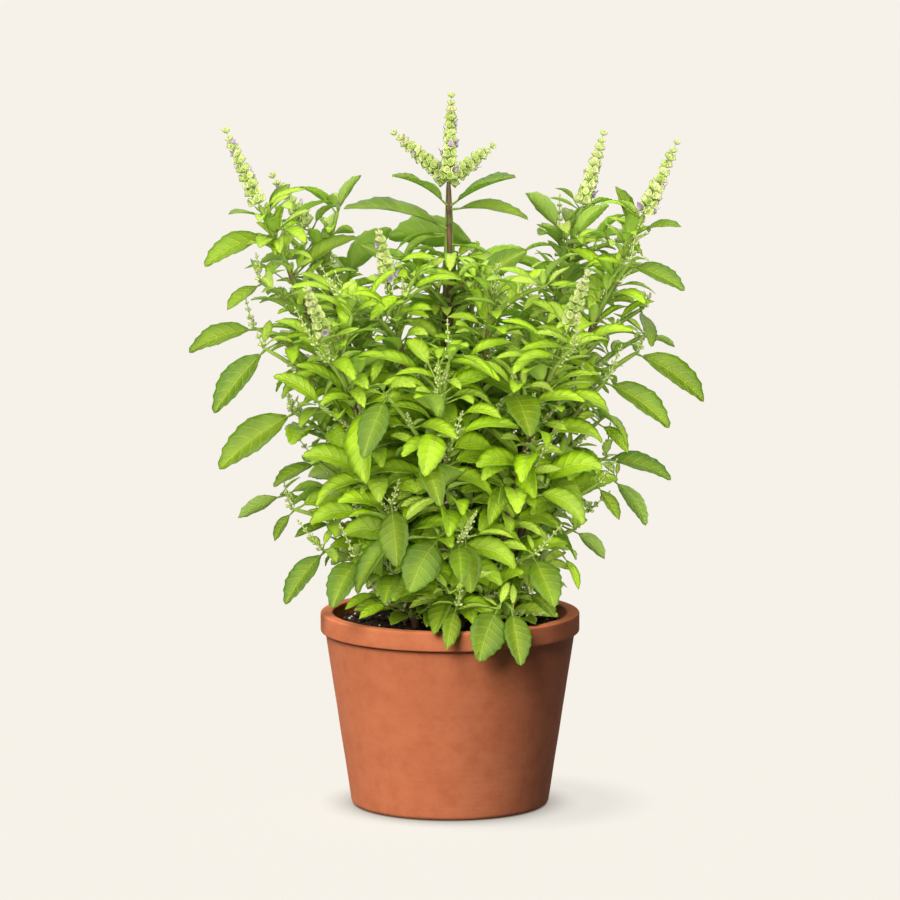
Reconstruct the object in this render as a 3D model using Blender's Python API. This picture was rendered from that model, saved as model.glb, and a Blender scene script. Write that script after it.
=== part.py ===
"""Potted holy basil: a tapered clay pot filled with soil, leafy stems and flower spikes.

The plant grows by rule. Square stems fan out of the soil, leaves stand on them in opposite
pairs that turn a quarter from pair to pair, and side shoots with pairs of their own reach the
places in REACHES, which give the bush its outline. A leaf or shoot that would touch what is
already there turns, tilts or shrinks until it is clear, and is left out if it never is.
"""

import math
import random

import bmesh
import bpy
from mathutils import Vector
from mathutils.bvhtree import BVHTree

# Lengths are in millimetres and angles in degrees. Mesh points become metres in new_object.
METRES = 0.001
UP = Vector((0.0, 0.0, 1.0))

# Pot
POT_HEIGHT = 135.0
RIM_RADIUS = 90.0
COLLAR_HEIGHT = 13.5
COLLAR_OVERHANG = 3.4
FOOT_RADIUS = 68.4
FOOT_ROUND = 3.5
FOOT_TURNS = (40.0, 90.0)
WALL = 7.0
RIM_WALL = 8.7
FLOOR = 9.0
EDGE = 1.2
POT_SIDES = 40
POT_CREASE = 35.0
DRAIN_RADIUS = 4.5
DRAIN_SIDES = 10
DRAIN_CIRCLE = 30.0
DRAINS = 3

# Soil
SOIL_TOP = 127.0
SOIL_GAP = 0.4
SOIL_DROP = 1.5
SOIL_UNEVEN = 0.9
SOIL_RINGS = (0.78, 0.55, 0.3)
SOIL_SIDES = 18
HOLE_DEPTH = 26.0
HOLE_ABOVE = 8.0
HOLE_GAP = 0.45
HOLE_SIDES = 5

# Stems and side shoots. A stem bends at its knee, a share of the way out and of the way up. A
# side shoot leaves its stem a little upward.
KNEE_OUT = 0.34
KNEE_UP = 0.52
STEM_END = 1.6
STEM_STEPS = 6
STEM_POINTS = 9
SHOOT_RADIUS = 1.9
SHOOT_END = 1.45
SHOOT_STEPS = 2
SHOOT_POINTS = 4
SHOOT_UP = 0.35
SHOOT_ALONG = 0.2
SEAT = 0.3

# Blades. Widths are shares of a leaf's length, and rows stand at shares of it.
PETIOLE = 0.75
PETIOLE_FLAT = 0.85
BLADE_THICKNESS = 1.3
SLIM = 0.36
BROAD = (0.38, 0.48)
BIG_LEAF = 40.0
TOOTHED_LEAF = 47.0
BIG_ROWS = (0.20, 0.50, 0.80)
SMALL_ROWS = (0.30, 0.70)
TOOTH = 1.03
NOTCH = 0.88
SPINE_STEPS = 12
SUNK = 0.3

# How leaves stand, as least and most
SWAY = (-10, 10)
ARCH = (48, 88)
ROLL = (22, 60)
BEND = (-14, 14)
FOLD = (14, 26)
REACH_ARCH = (16, 38)
REACH_ROLL = (34, 62)
REACH_BOW = 0.42
REACH_LENGTH = 1.03

# Leaves higher up are shorter, slimmer, straighter, flatter and less regular: where that starts,
# over what height it comes in, and by what share each of them changes at the top.
SLIM_FROM = 235.0
SLIM_RISE = 95.0
HIGH_SWAY = 1.4
HIGH_SHORT = 0.16
HIGH_STIFF = 0.35
HIGH_FLAT = 0.45
HIGH_SLIM = 0.20
STEM_PETIOLE = (8, 13)
SHOOT_PETIOLE = (5, 8)

# How far a blade's upper face turns away from the middle of the bush and to its front or back.
# What grows nearer than FRONT_DEPTH turns to the front.
OUT_FROM_MIDDLE = 0.6
OUT_FROM_FACE = 0.8
FRONT_DEPTH = 12.0
ROLL_FULL = 1.3

# Pairs of leaves on a stem, from its tip down
PAIR_LENGTHS = (25.0, 38.0, 47.0, 50.0, 48.0, 44.0)
PAIR_PITCHES = (46.0, 40.0, 32.0, 26.0, 22.0, 20.0)
PAIR_SIZE = (0.86, 1.16)
PAIR_TURN = (-14, 14)
FIRST_PAIR = 3.0
PAIR_STEP = 24.0
PAIR_STEP_MORE = 3.5
LOWEST_PAIR = 34.0
SOLID_PAIRS = 3

# Leaves on a side shoot: across from its first leaf, and a pair lower down on a long one
SHOOT_PAIR = 2.5
ACROSS = 34.0
LOWER = 38.0
SHOOT_LEAF_SIZE = (0.88, 1.2)
SHOOT_LEAF_PITCH = 30.0
FORKED_SHOOT = 30.0
LOWER_PAIR = 0.60

# Side shoots low on a stem. The furthest of the reaches that stays in the outline is taken.
SIDE_STEP = 46.0
SIDE_TURN = (-12, 12)
SIDE_REACHES = (59, 48, 37, 27)
SIDE_RISE = (24, 40)
SIDE_LEAF = (36, 50)
SIDE_LEAF_TURN = (-14, 14)
SIDE_LEAF_PITCH = 26.0
SIDE_LEAF_REACH = 26.0

# Room left round what grows. CLEAR is wanted round a new leaf, and GROWN_CLEAR is added to what
# has grown. A shoot is tested from SHOOT_FREE on, past the stem that it grows from.
CLEAR = 0.7
GROWN_CLEAR = 0.21
SPIKE_CLEAR = 1.0
SHOOT_FREE = 5.0
PETIOLE_FREE = 0.35

# What a leaf or a shoot that has no room tries
SIZES = (1.0, 0.86, 0.72)
TURNS = (14, 28, 44)
TILTS = (0, 14, -14, 26)
SHOOT_TRIES = 14
SHOOT_STRAY = 3.0

# Flower spikes. A whorl is a star of six cups with a waist above it.
WHORL = 9.5
WHORL_PLACE = 0.55
WAIST_PLACE = 0.30
SPIKE_FOOT = 1.3
SPIKE_RADIUS = 6.4
SPIKE_TAPER = 0.45
SPIKE_STAR = 0.62
SPIKE_WAIST = 0.42
SPIKE_CURVE = 0.0006
FEWEST_WHORLS = 4

# Edges flatter than this angle are dissolved.
FLAT = 0.25

# The stems: foot on the soil, tip in the air, radius at the foot, length of the flower spike and
# how far the spike leans to the side, as a share of its rise.
STEMS = {
    "middle": ((2, 5), (-1, 5, 434), 2.8, 62, 0.05),
    "left_1": ((-32, 0), (-131, -2, 418), 2.7, 60, 0.0),
    "left_2": ((-26, 17), (-98, 42, 398), 2.5, 48, -0.35),
    "left_3": ((-8, 17), (-1, 18, 432), 2.4, 54, -1.2),
    "right_1": ((12, 27), (-1, 29, 430), 2.4, 44, 1.3),
    "right_2": ((29, 18), (92, 34, 414), 2.5, 56, 0.0),
    "right_3": ((34, -3), (133, -6, 412), 2.7, 58, 0.0),
    "front_1": ((-24, -23), (-84, -88, 338), 2.4, 42, 0.0),
    "front_2": ((-2, -33), (-8, -112, 322), 2.4, 0, 0.0),
    "front_3": ((23, -25), (80, -90, 346), 2.4, 44, 0.0),
    "front_4": ((8, -15), (32, -56, 384), 2.4, 0, 0.0),
    "front_5": ((-9, -14), (-42, -50, 370), 2.4, 40, 0.0),
    "back_1": ((-20, 31), (-78, 98, 346), 2.4, 44, 0.0),
    "back_2": ((2, 35), (4, 122, 336), 2.4, 0, 0.0),
    "back_3": ((22, 31), (80, 98, 348), 2.4, 46, 0.0),
    "back_4": ((3, 20), (16, 72, 348), 2.4, 40, 0.0),
}

# Where the bush is reached: stem, height at which the side shoot leaves it, the shoot's end and
# the tip of the leaf that grows on from there. A shoot's end of None puts the leaf straight on
# the stem. A last number is the width of a leaf that isn't slim, as a share of its length.
REACHES = (
    ("middle", 401, None, (-72, -6, 417)),
    ("middle", 415, None, (53, -4, 409)),
    ("middle", 417, None, (-39, -22, 440), 0.40),
    ("middle", 417, None, (44, -20, 439), 0.40),
    ("left_1", 398, None, (-168, -18, 378)),
    ("left_1", 408, None, (-110, 12, 431)),
    ("left_1", 410, None, (-151, -26, 414)),
    ("left_1", 330, (-131, -14, 367), (-152, -34, 350)),
    ("left_1", 290, (-136, 4, 333), (-180, 0, 317)),
    ("left_1", 268, (-129, -12, 321), (-162, -22, 278)),
    ("left_1", 226, (-109, -22, 278), (-158, -34, 241)),
    ("left_1", 194, (-92, -12, 242), (-121, -30, 227)),
    ("left_1", 168, (-110, -8, 208), (-121, -10, 186)),
    ("left_2", 172, (-118, 20, 214), (-147, 18, 198)),
    ("left_2", 150, (-82, 4, 198), (-107, -6, 188)),
    ("left_1", 152, (-88, -26, 182), (-113, -44, 148)),
    ("front_1", 156, (-64, -60, 182), (-80, -86, 152), 0.46),
    ("left_2", 372, None, (-132, 60, 372)),
    ("left_2", 366, (-78, 46, 410), (-62, 50, 434)),
    ("right_3", 400, None, (158, -22, 405)),
    ("right_3", 396, None, (114, 8, 430)),
    ("right_3", 340, (124, -14, 380), (160, -30, 363)),
    ("right_3", 308, (134, 8, 346), (138, -26, 324)),
    ("right_3", 282, (136, 20, 326), (156, 32, 316)),
    ("right_3", 262, (130, -10, 318), (175, -14, 285)),
    ("right_3", 236, (108, -24, 300), (150, -40, 270)),
    ("right_3", 214, (104, 4, 268), (123, 0, 246), 0.46),
    ("right_3", 196, (108, 4, 242), (153, 0, 228)),
    ("right_2", 176, (116, 30, 224), (137, 38, 190)),
    ("right_3", 170, (103, -22, 228), (116, -36, 205)),
    ("right_2", 150, (88, 30, 188), (108, 36, 166)),
    ("right_3", 146, (80, 0, 176), (89, -4, 151)),
    ("front_3", 156, (58, -58, 184), (71, -86, 153), 0.46),
    ("right_2", 366, (76, 40, 398), (53, 44, 422), 0.46),
    ("right_2", 380, None, (122, 60, 392)),
    ("front_2", 142, (5, -80, 152), (-2, -101, 126)),
    ("front_4", 138, (34, -78, 150), (20, -102, 118), 0.56),
    ("front_4", 148, (43, -74, 148), (48, -99, 115), 0.42),
    ("front_5", 152, (-38, -66, 172), (-44, -104, 158)),
    ("back_2", 146, (10, 72, 160), (16, 104, 136)),
    ("back_1", 144, (-34, 66, 162), (-52, 96, 140)),
    ("front_1", 286, None, (-56, -108, 241), 0.50),
    ("front_2", 276, None, (-17, -120, 247), 0.54),
    ("front_1", 190, (-40, -78, 222), (-36, -100, 183), 0.48),
    ("front_2", 170, (-8, -84, 200), (-27, -104, 166), 0.58),
    ("front_4", 175, (10, -84, 200), (14, -106, 166), 0.42),
    ("front_2", 232, (-44, -100, 300), (-58, -132, 262)),
    ("front_2", 196, (-20, -96, 262), (-14, -136, 238)),
    ("front_4", 250, (44, -86, 300), (54, -128, 276), 0.44),
    ("front_1", 158, (-44, -84, 196), (-52, -118, 172)),
    ("front_3", 158, (48, -84, 194), (58, -116, 168), 0.44),
    ("front_2", 160, (6, -92, 198), (8, -126, 176)),
    ("back_3", 158, (48, 84, 194), (58, 116, 168), 0.44),
    ("back_1", 170, (-48, 84, 206), (-62, 114, 182), 0.44),
    ("back_2", 164, (0, 92, 206), (-4, 126, 182), 0.44),
)

# Half the width of the bush at some heights, apart from what is in REACHES. No leaf of a side
# stem comes up beside the top of the middle stem.
OUTLINE = ((112, 70), (150, 88), (180, 100), (212, 114), (250, 124), (285, 127),
           (320, 134), (350, 142), (395, 142), (412, 136), (428, 110), (445, 60))
GAP_HALF = 58.0
GAP_FLOOR = 385.0

# Stems whose topmost pairs are missing, with how many.
BARE_PAIRS = {"middle": 3, "left_3": 2, "right_1": 2}

# Rounds of side shoots: how far down the stem they stand and which way they lean.
SIDE_ROUNDS = ((0, 0), (1, 50), (1, -50), (2, 0), (3, 40), (3, -40), (4, 0))
SIDE_STEMS = ("front", "back", "left_2", "right_2")

FINISHES = {
    "terracotta": ((0.56, 0.235, 0.125, 1.0), 0.85),
    "soil": ((0.035, 0.024, 0.018, 1.0), 0.95),
    "leaf": ((0.26, 0.50, 0.045, 1.0), 0.50),
    "flower": ((0.52, 0.50, 0.36, 1.0), 0.65),
}


def finish(name):
    """Returns the material of that name."""
    material = bpy.data.materials.get(name)
    if material is None:
        material = bpy.data.materials.new(name)
        material.use_nodes = True
        colour, roughness = FINISHES[name]
        shader = material.node_tree.nodes["Principled BSDF"]
        shader.inputs["Base Color"].default_value = colour
        shader.inputs["Roughness"].default_value = roughness
        shader.inputs["Metallic"].default_value = 0.0
        material.diffuse_color = colour
    return material


def new_object(name, shape, material):
    """Makes an object from points in millimetres and faces, with its faces pointing out."""
    points, faces = shape
    mesh = bpy.data.meshes.new(name)
    mesh.from_pydata([tuple(point * METRES) for point in points], [], faces)
    surface = bmesh.new()
    surface.from_mesh(mesh)
    bmesh.ops.recalc_face_normals(surface, faces=surface.faces)
    surface.to_mesh(mesh)
    surface.free()
    thing = bpy.data.objects.new(name, mesh)
    thing.data.materials.append(finish(material))
    bpy.context.scene.collection.objects.link(thing)
    return thing


def apply_modifiers(thing):
    """Turns an object's modifiers into plain mesh."""
    bpy.context.view_layer.update()
    graph = bpy.context.evaluated_depsgraph_get()
    mesh = bpy.data.meshes.new_from_object(thing.evaluated_get(graph))
    old = thing.data
    thing.modifiers.clear()
    thing.data = mesh
    bpy.data.meshes.remove(old)


def combine(thing, shapes, operation):
    """Joins shapes to an object, or cuts them from it, with one Boolean on their collection."""
    helpers = bpy.data.collections.new(thing.name + " helpers")
    bpy.context.scene.collection.children.link(helpers)
    for number, shape in enumerate(shapes):
        helper = new_object(f"{thing.name} helper {number}", shape, thing.data.materials[0].name)
        bpy.context.scene.collection.objects.unlink(helper)
        helpers.objects.link(helper)
        helper.hide_render = True
        helper.display_type = "WIRE"
    boolean = thing.modifiers.new("combine", "BOOLEAN")
    boolean.operation = operation
    boolean.operand_type = "COLLECTION"
    boolean.collection = helpers
    boolean.solver = "EXACT"
    apply_modifiers(thing)
    for helper in list(helpers.objects):
        bpy.data.objects.remove(helper, do_unlink=True)
    bpy.data.collections.remove(helpers)


def clean(thing):
    """Keeps only an object's largest connected body, with its flat faces in few triangles."""
    surface = bmesh.new()
    surface.from_mesh(thing.data)
    seen = set()
    bodies = []
    for start in surface.verts:
        if start in seen:
            continue
        body = {start}
        edge_of_body = [start]
        while edge_of_body:
            corner = edge_of_body.pop()
            for link in corner.link_edges:
                other = link.other_vert(corner)
                if other not in body:
                    body.add(other)
                    edge_of_body.append(other)
        seen |= body
        bodies.append(body)
    bodies.sort(key=len)
    for body in bodies[:-1]:
        bmesh.ops.delete(surface, geom=list(body), context="VERTS")
    bmesh.ops.dissolve_limit(surface, angle_limit=math.radians(FLAT), use_dissolve_boundaries=False,
                             verts=surface.verts, edges=surface.edges)
    bmesh.ops.triangulate(surface, faces=surface.faces)
    surface.to_mesh(thing.data)
    surface.free()


def shade_round(thing, angle):
    """Shades a round piece smooth, with a crease at each corner sharper than the angle."""
    thing.data.shade_smooth()
    thing.data.set_sharp_from_angle(angle=math.radians(angle))


def turned(profile, sides):
    """Turns a profile of (radius, height) points round the Z axis into a closed shape.

    The profile starts and ends on the axis.
    """
    points = []
    rings = []
    for radius, height in profile:
        if radius == 0:
            rings.append([len(points)])
            points.append(Vector((0.0, 0.0, height)))
            continue
        ring = []
        for side in range(sides):
            angle = math.tau * side / sides
            ring.append(len(points))
            points.append(Vector((radius * math.cos(angle), radius * math.sin(angle), height)))
        rings.append(ring)
    faces = []
    for low, high in zip(rings, rings[1:]):
        for side in range(sides):
            after = (side + 1) % sides
            if len(low) == 1:
                faces.append((low[0], high[side], high[after]))
            elif len(high) == 1:
                faces.append((low[side], high[0], low[after]))
            else:
                faces.append((low[side], high[side], high[after], low[after]))
    return points, faces


def upright_prism(x, y, bottom, top, radius, sides):
    """A closed prism that stands upright, for a hole."""
    points = []
    for height in (bottom, top):
        for side in range(sides):
            angle = math.tau * (side + 0.5) / sides
            points.append(Vector((x + radius * math.cos(angle), y + radius * math.sin(angle), height)))
    faces = [tuple(range(sides)), tuple(range(sides, 2 * sides))]
    for side in range(sides):
        after = (side + 1) % sides
        faces.append((side, after, sides + after, sides + side))
    return points, faces


def wall_radius(height):
    """The outer radius of the pot's body at a height."""
    top = POT_HEIGHT - COLLAR_HEIGHT
    share = height / top
    return FOOT_RADIUS + (RIM_RADIUS - COLLAR_OVERHANG - FOOT_RADIUS) * share


def inner_radius(height):
    """The radius of the pot's hollow at a height."""
    share = (height - FLOOR) / (POT_HEIGHT - FLOOR)
    foot = FOOT_RADIUS - WALL
    return foot + (RIM_RADIUS - RIM_WALL - foot) * share


def make_pot():
    """The clay pot: one turned piece with a collar and drainage holes in its floor."""
    collar_foot = POT_HEIGHT - COLLAR_HEIGHT
    profile = [(0, 0), (FOOT_RADIUS - FOOT_ROUND, 0)]
    for angle in FOOT_TURNS:
        turn = math.radians(angle)
        inset = FOOT_ROUND * (1 - math.sin(turn))
        rise = FOOT_ROUND * (1 - math.cos(turn))
        profile.append((wall_radius(rise) - inset, rise))
    profile += [
        (wall_radius(collar_foot), collar_foot),
        (RIM_RADIUS - EDGE, collar_foot),
        (RIM_RADIUS, collar_foot + EDGE),
        (RIM_RADIUS, POT_HEIGHT - EDGE),
        (RIM_RADIUS - EDGE, POT_HEIGHT),
        (RIM_RADIUS - RIM_WALL + EDGE, POT_HEIGHT),
        (inner_radius(POT_HEIGHT - EDGE), POT_HEIGHT - EDGE),
        (inner_radius(FLOOR), FLOOR),
        (0, FLOOR),
    ]
    pot = new_object("pot", turned(profile, POT_SIDES), "terracotta")
    drains = []
    for number in range(DRAINS):
        angle = math.tau * (number + 0.25) / DRAINS
        x = DRAIN_CIRCLE * math.cos(angle)
        y = DRAIN_CIRCLE * math.sin(angle)
        drains.append(upright_prism(x, y, -FLOOR, 2 * FLOOR, DRAIN_RADIUS, DRAIN_SIDES))
    combine(pot, drains, "DIFFERENCE")
    shade_round(pot, POT_CREASE)
    return pot


def soil_height(x, y):
    """The height of the soil's slightly uneven surface."""
    lumps = math.sin(0.11 * x + 0.6) * math.cos(0.13 * y - 0.4) + 0.6 * math.sin(0.21 * x - 0.17 * y)
    return SOIL_TOP + SOIL_UNEVEN * lumps


def join_rings(ring, inner):
    """Faces between a ring of point numbers and an inner ring, which may have half as many."""
    faces = []
    for side, point in enumerate(inner):
        after = inner[(side + 1) % len(inner)]
        if len(ring) == len(inner):
            low = ring[side]
            high = ring[(side + 1) % len(ring)]
        else:
            low = ring[2 * side + 1]
            high = ring[(2 * side + 2) % len(ring)]
            faces.append((ring[2 * side], low, point))
        faces += [(low, after, point), (low, high, after)]
    return faces


def soil_shape():
    """The soil without its holes: a turned body with a slightly uneven top."""
    edge = inner_radius(SOIL_TOP - SOIL_DROP) - SOIL_GAP
    bottom = FLOOR + SOIL_GAP
    profile = [(0, bottom), (inner_radius(FLOOR) - SOIL_GAP, bottom),
               (edge, SOIL_TOP - SOIL_DROP), (0, SOIL_TOP)]
    points, faces = turned(profile, 2 * SOIL_SIDES)
    points.pop()
    faces = [face for face in faces if len(points) not in face]
    ring = list(range(len(points) - 2 * SOIL_SIDES, len(points)))
    for share in SOIL_RINGS:
        inner = []
        for side in range(SOIL_SIDES):
            angle = math.tau * side / SOIL_SIDES
            x = edge * share * math.cos(angle)
            y = edge * share * math.sin(angle)
            inner.append(len(points))
            points.append(Vector((x, y, soil_height(x, y))))
        faces += join_rings(ring, inner)
        ring = inner
    points.append(Vector((0.0, 0.0, soil_height(0, 0))))
    for side, point in enumerate(ring):
        faces.append((point, ring[(side + 1) % SOIL_SIDES], len(points) - 1))
    return points, faces


def make_soil():
    """The soil: one body that fills the pot, with a plain hole for each stem."""
    soil = new_object("soil", soil_shape(), "soil")
    holes = []
    for (x, y), _, radius, _, _ in STEMS.values():
        reach = (radius + HOLE_GAP) / math.cos(math.pi / HOLE_SIDES)
        holes.append(upright_prism(x, y, SOIL_TOP - HOLE_DEPTH, SOIL_TOP + HOLE_ABOVE, reach,
                                   HOLE_SIDES))
    combine(soil, holes, "DIFFERENCE")
    return soil


class Path:
    """A line through points, measured along its length."""

    def __init__(self, points):
        self.points = points
        self.lengths = [0.0]
        for start, end in zip(points, points[1:]):
            self.lengths.append(self.lengths[-1] + (end - start).length)
        self.length = self.lengths[-1]

    def at(self, along):
        """The point and the direction at a length along the path."""
        along = min(max(along, 0.0), self.length)
        for number, end in enumerate(self.lengths[1:]):
            if along <= end or number == len(self.points) - 2:
                start = self.lengths[number]
                step = self.points[number + 1] - self.points[number]
                return self.points[number] + step * ((along - start) / (end - start)), step.normalized()

    def at_height(self, height):
        """The length along the path at which it first reaches a height."""
        for number, point in enumerate(self.points[1:]):
            if point.z >= height:
                before = self.points[number].z
                share = (height - before) / (point.z - before)
                return self.lengths[number] + share * (self.lengths[number + 1] - self.lengths[number])
        return self.length


def bent(start, middle, end, steps):
    """Points along a smooth bend from start to end."""
    points = []
    for step in range(steps + 1):
        t = step / steps
        points.append(start * (1 - t) ** 2 + middle * (2 * t * (1 - t)) + end * t ** 2)
    return points


def square_tube(points, radii, normal):
    """A closed square tube along points that lie in the plane across the normal."""
    corners = []
    for number, point in enumerate(points):
        before = points[max(number - 1, 0)]
        after = points[min(number + 1, len(points) - 1)]
        side = normal * (radii[number] * math.sqrt(0.5))
        other = (after - before).normalized().cross(normal) * (radii[number] * math.sqrt(0.5))
        corners += [point + side + other, point - side + other,
                    point - side - other, point + side - other]
    last = len(corners) - 4
    faces = [(0, 1, 2, 3), (last, last + 1, last + 2, last + 3)]
    for ring in range(0, last, 4):
        for corner in range(4):
            here = ring + corner
            after = ring + (corner + 1) % 4
            faces += [(here, after, after + 4), (here, after + 4, here + 4)]
    return corners, faces


def blade_width(u):
    """Half the blade's width at a share of its length, as a share of the most."""
    return math.sin(math.pi * u ** 0.86) ** 0.78


class Leaf:
    """A leaf: where it is rooted, which way it grows, and how it arches."""

    def __init__(self, root, azimuth, pitch, length, petiole, arch, roll=0.0, bend=0.0, fold=20.0,
                 broad=SLIM):
        self.root = root
        self.azimuth = azimuth
        self.pitch = pitch
        self.length = length
        self.petiole = petiole
        self.arch = arch
        self.roll = roll
        self.bend = bend
        self.fold = fold
        self.broad = broad
        self.width = length * broad
        self.sunk = 0.0
        self.solid = True

    def changed(self, turn, tilt, size):
        """The same leaf turned, tilted and scaled."""
        return Leaf(self.root, self.azimuth + turn, self.pitch + tilt, self.length * size,
                    self.petiole, self.arch, self.roll, self.bend, self.fold, self.broad)

    def heading(self, u):
        """The blade's forward, left and upper directions at a share of its length."""
        azimuth = math.radians(self.azimuth + self.bend * u)
        pitch = math.radians(self.pitch - self.arch * u)
        roll = math.radians(self.roll)
        ahead = Vector((math.cos(azimuth), math.sin(azimuth), 0.0))
        level = Vector((-math.sin(azimuth), math.cos(azimuth), 0.0))
        forward = ahead * math.cos(pitch) + UP * math.sin(pitch)
        upright = UP * math.cos(pitch) - ahead * math.sin(pitch)
        left = level * math.cos(roll) + upright * math.sin(roll)
        above = upright * math.cos(roll) - level * math.sin(roll)
        return forward, left, above

    def spine(self, u):
        """The point of the midrib at a share of the blade's length."""
        steps = max(1, round(u * SPINE_STEPS))
        point = self.root + self.heading(0.0)[0] * self.petiole
        for step in range(steps):
            point = point + self.heading((step + 0.5) * u / steps)[0] * (self.length * u / steps)
        return point

    def ring(self, u, half_width, half_thickness):
        """Four points round the blade: left edge, top, right edge and bottom."""
        _, left, above = self.heading(u)
        middle = self.spine(u)
        fold = math.radians(self.fold) * min(1.0, half_width / 4)
        out = left * (half_width * math.cos(fold))
        lift = above * (half_width * math.sin(fold))
        return [middle + out + lift, middle + above * half_thickness,
                middle - out + lift, middle - above * half_thickness]

    def shape(self, clear=0.0):
        """The leaf as a closed shape. With clear it is a fatter one that tests for room."""
        rows = BIG_ROWS if self.length >= BIG_LEAF else SMALL_ROWS
        toothed = self.length >= TOOTHED_LEAF and not clear
        forward, left, above = self.heading(0.0)
        half = BLADE_THICKNESS / 2 + clear
        stalk = PETIOLE + clear
        flat = stalk * PETIOLE_FLAT
        corners = (left * stalk, above * flat, left * -stalk, above * -flat)
        start = self.root + forward * (PETIOLE_FREE * self.petiole if clear else self.sunk)
        points = [start + corner for corner in corners]
        points += [self.spine(0.0) + corner * PETIOLE_FLAT for corner in corners]
        for u in rows:
            points += self.ring(u, self.width / 2 * blade_width(u) * TOOTH + clear, half)
        tip = len(points)
        points.append(self.spine(1.0) + self.heading(1.0)[0] * clear)
        faces = [(0, 1, 2), (0, 2, 3)]
        for ring in range(len(rows) + 1):
            a = 4 * ring
            b = a + 4
            if toothed and ring > 1:
                u = (rows[ring - 2] + rows[ring - 1]) / 2
                notch = self.ring(u, self.width / 2 * blade_width(u) * NOTCH, 0.0)
                for edge in (0, 2):
                    cut = len(points)
                    points.append(notch[edge])
                    for face in (1, 3):
                        faces += [(a + edge, a + face, cut), (a + face, b + face, cut),
                                  (b + face, b + edge, cut)]
                continue
            for edge in (0, 2):
                for face in (1, 3):
                    faces += [(a + edge, a + face, b + face), (a + edge, b + face, b + edge)]
        last = 4 * (len(rows) + 1)
        for edge in (0, 2):
            for face in (1, 3):
                faces.append((last + edge, last + face, tip))
        return points, faces


class Room:
    """What has been placed, and whether there is room for more."""

    def __init__(self):
        self.bodies = []

    def add(self, shape, owner):
        """Adds a shape that belongs to an owner."""
        points, faces = shape
        middle = sum(points, Vector()) / len(points)
        reach = max((point - middle).length for point in points)
        self.bodies.append((BVHTree.FromPolygons(points, faces), middle, reach, owner))

    def is_free(self, shape, owner):
        """Says whether a shape crosses nothing, apart from what belongs to its owner."""
        points, faces = shape
        middle = sum(points, Vector()) / len(points)
        reach = max((point - middle).length for point in points)
        tree = BVHTree.FromPolygons(points, faces)
        for other, centre, size, holder in self.bodies:
            if holder == owner or (centre - middle).length > reach + size:
                continue
            if tree.overlap(other):
                return False
        return True


def outline_radius(height):
    """Half the width of the bush at a height."""
    if height <= OUTLINE[0][0]:
        return 0.0
    for (low, low_width), (high, high_width) in zip(OUTLINE, OUTLINE[1:]):
        if height <= high:
            return low_width + (high_width - low_width) * (height - low) / (high - low)
    return 0.0


def inside_outline(point):
    """Says whether a point lies within the bush's outline."""
    if abs(point.x) < GAP_HALF and point.z > GAP_FLOOR:
        return False
    return math.hypot(point.x, point.y) <= outline_radius(point.z)


class Shoot:
    """A side shoot: a thin stem that grows from a main stem."""

    def __init__(self, root, direction, end, owner):
        middle = root + direction * (0.5 * (end - root).length)
        self.path = Path(bent(root, middle, end, SHOOT_POINTS))
        self.normal = direction.cross(end - root).normalized()
        self.owner = owner

    def radius(self, along):
        """The shoot's radius at a length along it."""
        return SHOOT_RADIUS + (SHOOT_END - SHOOT_RADIUS) * along / self.path.length

    def shape(self, clear=0.0):
        """The shoot as a closed shape."""
        first = SHOOT_FREE if clear else 0.0
        steps = range(SHOOT_STEPS + 1)
        places = [first + (self.path.length - first) * step / SHOOT_STEPS for step in steps]
        points = [self.path.at(place)[0] for place in places]
        return square_tube(points, [self.radius(place) + clear for place in places], self.normal)


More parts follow.
